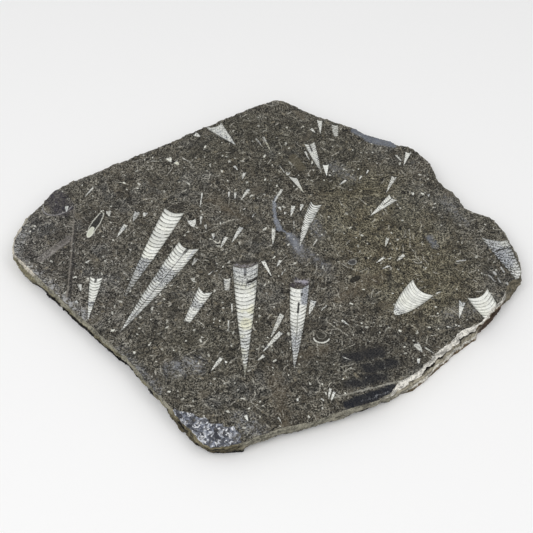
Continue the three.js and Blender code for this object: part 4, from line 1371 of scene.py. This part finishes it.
def fossilCalcite(stone, stroke):
    # The cone in its own coordinates: along runs from the mouth to the tip, across from side to side.
    # Half width = halfWidth times (1 - (along / length) to the taper). A chamber wall is a line of
    # equal (along - dip), where dip falls from sag times the half width in the middle to 0 at the sides.
    # Chambers passed = the integral of 1 / pitch, with pitch changing evenly from mouth to tip.
    made, tree, shader = newMaterial("fossilCalcite")
    tones = tonesOf(calcite)
    place = inMillimetres(tree)
    look = useGroup(tree, stone, Place=place)
    mouthX, mouthY, turn = parts(attribute(tree, "fossilFrame"))
    halfWidth, length, taper = parts(attribute(tree, "fossilShape"))
    pitchMouth, pitchTip, strength = parts(attribute(tree, "fossilSepta"))
    sag, slope, bend = parts(attribute(tree, "fossilCurve"))
    siphonPlace, siphonHalf, siphonEnd = parts(attribute(tree, "fossilSiphon"))
    tone, warmth, blotch = parts(attribute(tree, "fossilTone"))
    reach, fade, ragged = parts(attribute(tree, "fossilWear"))
    scarPlace, scarHalf, scarStrength = parts(attribute(tree, "fossilScar"))
    blunt, wallWidth, lines = parts(attribute(tree, "fossilEnd"))
    stainFrom, stainStrength, thread = parts(attribute(tree, "fossilStain"))
    fine, broad, wallNoise, warmNoise, grains = (
        noise(place, *calciteNoise[name]) for name in ("fine", "broad", "walls", "warm", "grains"))
    jitter = fine - 0.5
    wobble = broad - 0.5

    # where the point lies in the cone
    x, y, _ = parts(place)
    across, along, _ = parts(turned(joined(tree, x - mouthX, y - mouthY), turn))
    share = (along / length).most(0.0).least(1.0)
    across = across - bend * share * share.inverse() * 4
    width = halfWidth * (share ** taper).inverse().most(0.0) ** blunt
    half = width.most(0.05)
    side = (across / half).most(-1.3).least(1.3)
    sideSquare = side * side
    dip = sag * half * sideSquare.inverse()
    depth = along - dip - slope * across + jitter * 0.5

    # chamber walls, and faint lines halfway between them
    pitchChange = pitchTip - pitchMouth
    ramp = pitchChange / pitchMouth * (depth / length).most(0.0).least(1.0) + 1
    passed = length / pitchChange * ramp.math("LOGARITHM", math.e)
    pitch = pitchMouth + pitchChange * share
    sawtooth = passed.math("FRACT")
    stain = (share - stainFrom).step(0.0, 0.2) * stainStrength
    thick = (sideSquare * 1.1 + 0.6 + stain * 0.5) * wallWidth * calcite["septumHalf"]
    thick = thick * wallNoise.step(0.36, 0.64, 0.4, 1.7)
    fromWall = sawtooth.least(sawtooth.inverse()) * pitch
    wall = (fromWall - thick).step(-0.3, 0.3, 1.0, 0.0) * strength
    faint = ((sawtooth - 0.5).size() * pitch).step(0.1, 0.45, 1.0, 0.0)
    faint = faint * wallNoise.step(0.44, 0.56) * lines

    # the shell's own colour, warm or bluish, and shaded inside each chamber
    chamberTone = noise(joined(tree, passed.math("FLOOR") * 0.71, mouthX, mouthY), 1.0, 0.0)
    warm = warmth.most(0.0) * warmNoise.step(0.45, 0.6) * share.step(0.12, 0.25)
    colour = blend(warm, tones["white"], tones["warm"])
    colour = blend((warmth * -1.0).most(0.0), colour, tones["blue"])
    shade = sawtooth.step(0.0, 0.6, 0.45, 0.0) * (sideSquare * 0.7 + 0.45)
    shade = shade + chamberTone.step(0.6, 0.35, 0.0, 0.25)
    colour = blend((shade * strength).least(1.0), colour, tones["edge"])
    colour = blend(fine.step(0.58, 0.74) * 0.45, colour, tones["edge"])

    # scars, blotches and stains
    scar = (along - scarPlace).size() / scarHalf + wobble * 2
    scar = scar.step(0.5, 1.2, 1.0, 0.0) * scarStrength
    worn = (scar + blotch * 0.8 + stain * 0.5).least(1.0)
    colour = blend(stain * 0.35, colour, tones["blue"])
    smudge = broad.step(0.5, 0.66).most(scar) * worn
    crumb = grains.step(0.54, 0.44)
    colour = blend(smudge * (crumb * 0.7 + 0.15), colour, tones["smudge"])
    blue = noise(shifted(place, 70.0, 10.0), *calciteNoise["blue"]).step(0.52, 0.66)
    colour = blend(blue.most(scar) * worn * (crumb * 0.5 + 0.25), colour, tones["blue"])
    colour = blend(grains.step(0.48, 0.38) * worn * (scar * 0.6 + 0.35), colour, tones["siphon"])
    colour = blend(faint * 0.6, colour, tones["edge"])
    colour = blend(wall, colour, tones["septum"])
    colour = blend(side.size().step(0.75, 1.0) * (stain * 0.4 + 0.5), colour, tones["edge"])

    # the siphon, and the thread that runs on from it
    fromSiphon = (across - siphonPlace * half).size()
    siphon = (fromSiphon + jitter * 0.5 - siphonHalf).step(-0.15, 0.2, 1.0, 0.0)
    siphon = siphon * (siphonEnd - along + jitter * 2).step(-0.5, 0.5) * siphonHalf.step(0.0, 0.2)
    line = (fromSiphon + jitter * 0.6 - 0.4).step(-0.15, 0.2, 0.7, 0.0)
    siphon = siphon.most(line * (thread - along + wobble * 9).step(-1.0, 1.0))
    colour = blend(siphon * 0.85, colour, tones["siphon"])

    moved = vectorMath("ADD", place, joined(tree, jitter * 1.2, wobble * 3))
    broken = grains.step(0.46, 0.54)
    for start, end, wide, soft, tint, amount, speckle in wounds:
        wound = strokeMask(tree, stroke, after(colour, moved), start, end, wide, soft)
        grainy = broken if speckle >= 0 else broken.inverse()
        wound = wound * (grainy * abs(speckle) + (1 - abs(speckle))) * amount
        colour = blend(wound, colour, tones[tint])

    # where the cone ends and the stone begins
    left = reach - along
    edge = width - across.size() - 0.1 + jitter * ragged * 1.6 + wall * -0.2
    mouth = depth + jitter * ragged * 2
    end = left + wobble * (fade + ragged) * 2.4
    bounds = edge.least(mouth).least(end)
    fading = left.step(0.0, fade * 1.3, 0.35, 1.0)
    eaten = (worn * grains.step(0.5, 0.42) * 0.55).inverse()
    mask = bounds.step(-0.15, 0.3) * fading * eaten
    rimShade = bounds.step(-1.0, -0.2) * bounds.step(0.1, -0.2) * 0.5
    ground = blend(rimShade * tone, look["Color"], seen(stoneFace["black"]))
    toned = blend(tone.inverse() * 0.95, colour, look["Color"])
    setSurface(shader, stoneFace, blend(mask, ground, toned), look["Gloss"])
    return made


brokenStone = {
    "paler": 1.55, "darker": 0.32,  # what multiplies the stretch's own tone
    "roughness": (0.75, 0.92), "specular": 0.25, "relief": (0.6, 0.6),
}
# Noises as scale, detail, roughness and warp, and the layers that they make: pattern, from, to,
# strength, tone.
brokenNoise = {
    "layers": (1.0, 3.0, 0.6, 0.4), "lumps": (0.26, 4.0, 0.62, 0.5), "grains": (0.7, 3.0, 0.7),
    "patches": (0.11, 3.0, 0.6),
}
brokenLayers = [
    ("patches", 0.5, 0.62, 0.5, "paler"), ("patches", 0.5, 0.38, 0.4, "darker"),
    ("layers", 0.5, 0.58, 0.6, "paler"), ("layers", 0.47, 0.4, 0.7, "darker"),
    ("lumps", 0.52, 0.62, 0.6, "paler"), ("lumps", 0.48, 0.4, 0.65, "darker"),
    ("grains", 0.54, 0.64, 0.5, "paler"), ("grains", 0.46, 0.38, 0.75, "darker"),
]


def roughSide():
    # Broken stone: the stretch's own tone with its painted shade of the split and the undercut foot, crumbly
    # grains, thin layers, dark splits and pale bruises
    made, tree, shader = newMaterial("brokenLimestone")
    place = inMillimetres(tree)
    # the side's tones, painted shade of the split and the undercut foot among them
    colour = attribute(tree, "sideTone", "Color")
    x, y, z = parts(place)
    places = {"layers": joined(tree, x * 0.05, y * 0.05, z * 0.9)}
    patterns = {name: noise(places.get(name, place), *settings) for name, settings in brokenNoise.items()}
    tones = {name: vectorMath("SCALE", colour, scale=brokenStone[name]) for name in ("paler", "darker")}
    for name, low, high, strength, tone in brokenLayers:
        colour = blend(patterns[name].step(low, high) * strength, colour, tones[tone])
    roughness = patterns["grains"].step(0.3, 0.7, *brokenStone["roughness"])
    setSurface(shader, brokenStone, colour, roughness, patterns["grains"] * 0.6 + patterns["lumps"] * 0.4)
    return made


crystalLook = {
    "deep": (66, 69, 78), "grey": (134, 139, 152), "pale": (196, 199, 206), "white": (240, 241, 243),
    "black": (34, 36, 42), "gap": (40, 42, 50), "earth": (92, 86, 72),
    "facet": 0.24, "splinter": 0.85,   # how many to a millimetre
    "shakeScale": 0.35, "shake": 2.4,
    "roughness": (0.22, 0.6), "specular": 0.5, "relief": (0.5, 0.5),
}


def roughCrystals():
    # Calcite crystals: each facet its own grey, blue-grey or white, darker in the gaps
    made, tree, shader = newMaterial("roughCrystals")
    tones = tonesOf(crystalLook)
    place = inMillimetres(tree)
    shake = noise(place, crystalLook["shakeScale"], 2.0, output="Color")
    moved = pushed(place, shake, crystalLook["shake"])
    facet = cells(moved, crystalLook["facet"], dimensions="3D")
    splinter = cells(moved, crystalLook["splinter"], dimensions="3D")
    red, green, blue = parts(facet["Color"])
    splinterRed, splinterGreen, _ = parts(splinter["Color"])
    colour = blend(red.step(0.2, 0.65), tones["deep"], tones["grey"])
    colour = blend(green.step(0.68, 0.78), colour, tones["pale"])
    colour = blend(splinterRed.step(0.8, 0.86) * 0.85, colour, tones["white"])
    colour = blend(splinterGreen.step(0.66, 0.74) * 0.8, colour, tones["black"])
    colour = blend(noise(place, 0.2, 3.0).step(0.5, 0.42) * 0.8, colour, tones["gap"])
    colour = blend(noise(place, 0.12, 3.0).step(0.54, 0.66) * 0.6, colour, tones["earth"])
    roughness = blue.step(0.2, 0.8, *crystalLook["roughness"])
    setSurface(shader, crystalLook, colour, roughness, splinter["Distance"])
    return made


sawnStone = {
    "dust": (128, 124, 114), "saw mark": (150, 146, 136),
    "shift": (311.0, 173.0),   # so that it doesn't repeat the polished face
    "roughness": (0.72, 0.88), "specular": 0.5, "relief": (0.35, 0.3),
}


def sawnUnderside(stone):
    # The same stone, sawn and left dull: faint straight saw marks and a dry, dusty tone
    made, tree, shader = newMaterial("sawnUnderside")
    tones = tonesOf(sawnStone)
    place = inMillimetres(tree)
    look = useGroup(tree, stone, Place=shifted(place, *sawnStone["shift"]))
    x, y, _ = parts(place)
    marks = noise(joined(tree, x * 0.01 + y * 0.9, x * 0.02), 1.0, 3.0, 0.6)
    dust = noise(place, 0.03, 4.0, 0.6)
    colour = blend(dust.step(0.3, 0.7, 0.35, 0.6), look["Color"], tones["dust"])
    colour = blend(marks.step(0.5, 0.7) * 0.3, colour, tones["saw mark"])
    setSurface(shader, sawnStone, colour, marks.step(0.3, 0.7, *sawnStone["roughness"]), marks)
    return made


# Stage

stage = {
    "target": (1.1, -15.8, 16.0), "elevation": 52.0, "distance": 950.0, "field": 27.0, "sensor": 36.0,
    "floor": (254, 254, 254), "floorRoughness": 0.9, "floorHalf": 9.0,  # the floor's half is in metres
    "world": 0.6,
    "lights": [  # place, size, power
        ((-500, -700, 1300), 1000, 6.0), ((800, -300, 1200), 900, 3.2), ((-1200, 300, 900), 900, 1.2),
    ],
}


def setStage():
    scene = bpy.context.scene
    scene.view_settings.view_transform = "Standard"
    world = bpy.data.worlds.new("studio")
    world.use_nodes = True
    background = world.node_tree.nodes["Background"]
    background.inputs["Color"].default_value = (1, 1, 1, 1)
    background.inputs["Strength"].default_value = stage["world"]
    scene.world = world
    target = Vector(stage["target"]) * mm
    tilt = math.radians(stage["elevation"])
    back = Vector((0, -math.cos(tilt), math.sin(tilt)))
    data = bpy.data.cameras.new("camera")
    data.sensor_width = stage["sensor"]
    data.lens = stage["sensor"] / 2 / math.tan(math.radians(stage["field"]) / 2)
    camera = bpy.data.objects.new("camera", data)
    camera.location = target + back * stage["distance"] * mm
    camera.rotation_euler = (-back).to_track_quat("-Z", "Y").to_euler()
    scene.collection.objects.link(camera)
    scene.camera = camera
    for order, (place, size, power) in enumerate(stage["lights"]):
        lamp = bpy.data.lights.new("soft light %d" % order, "AREA")
        lamp.size = size * mm
        lamp.energy = power
        light = bpy.data.objects.new("soft light %d" % order, lamp)
        light.location = Vector(place) * mm
        light.rotation_euler = (target - light.location).to_track_quat("-Z", "Y").to_euler()
        scene.collection.objects.link(light)
    mesh = bpy.data.meshes.new("floor")
    half = stage["floorHalf"]
    mesh.from_pydata([(-half, -half, 0), (half, -half, 0), (half, half, 0), (-half, half, 0)], [],
                     [(0, 1, 2, 3)])
    floor = bpy.data.objects.new("floor", mesh)
    pale, _, shader = newMaterial("paleFloor")
    plug(shader.inputs["Base Color"], seen(stage["floor"]))
    plug(shader.inputs["Roughness"], stage["floorRoughness"])
    mesh.materials.append(pale)
    scene.collection.objects.link(floor)
    print("stage set")


setStage()
piece = buildSlab()
stroke = makeStroke()
stone = makeStoneFace(makeStreaks(), makeStamps(), stroke, makeArc())
made = {"face": polishedLimestone(stone), "fossils": fossilCalcite(stone, stroke), "side": roughSide(),
        "crystals": roughCrystals(), "underside": sawnUnderside(stone)}
for finish in finishes:
    piece.data.materials.append(made[finish])
print("materials made")

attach(piece, "root")
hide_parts("fossil_slab")
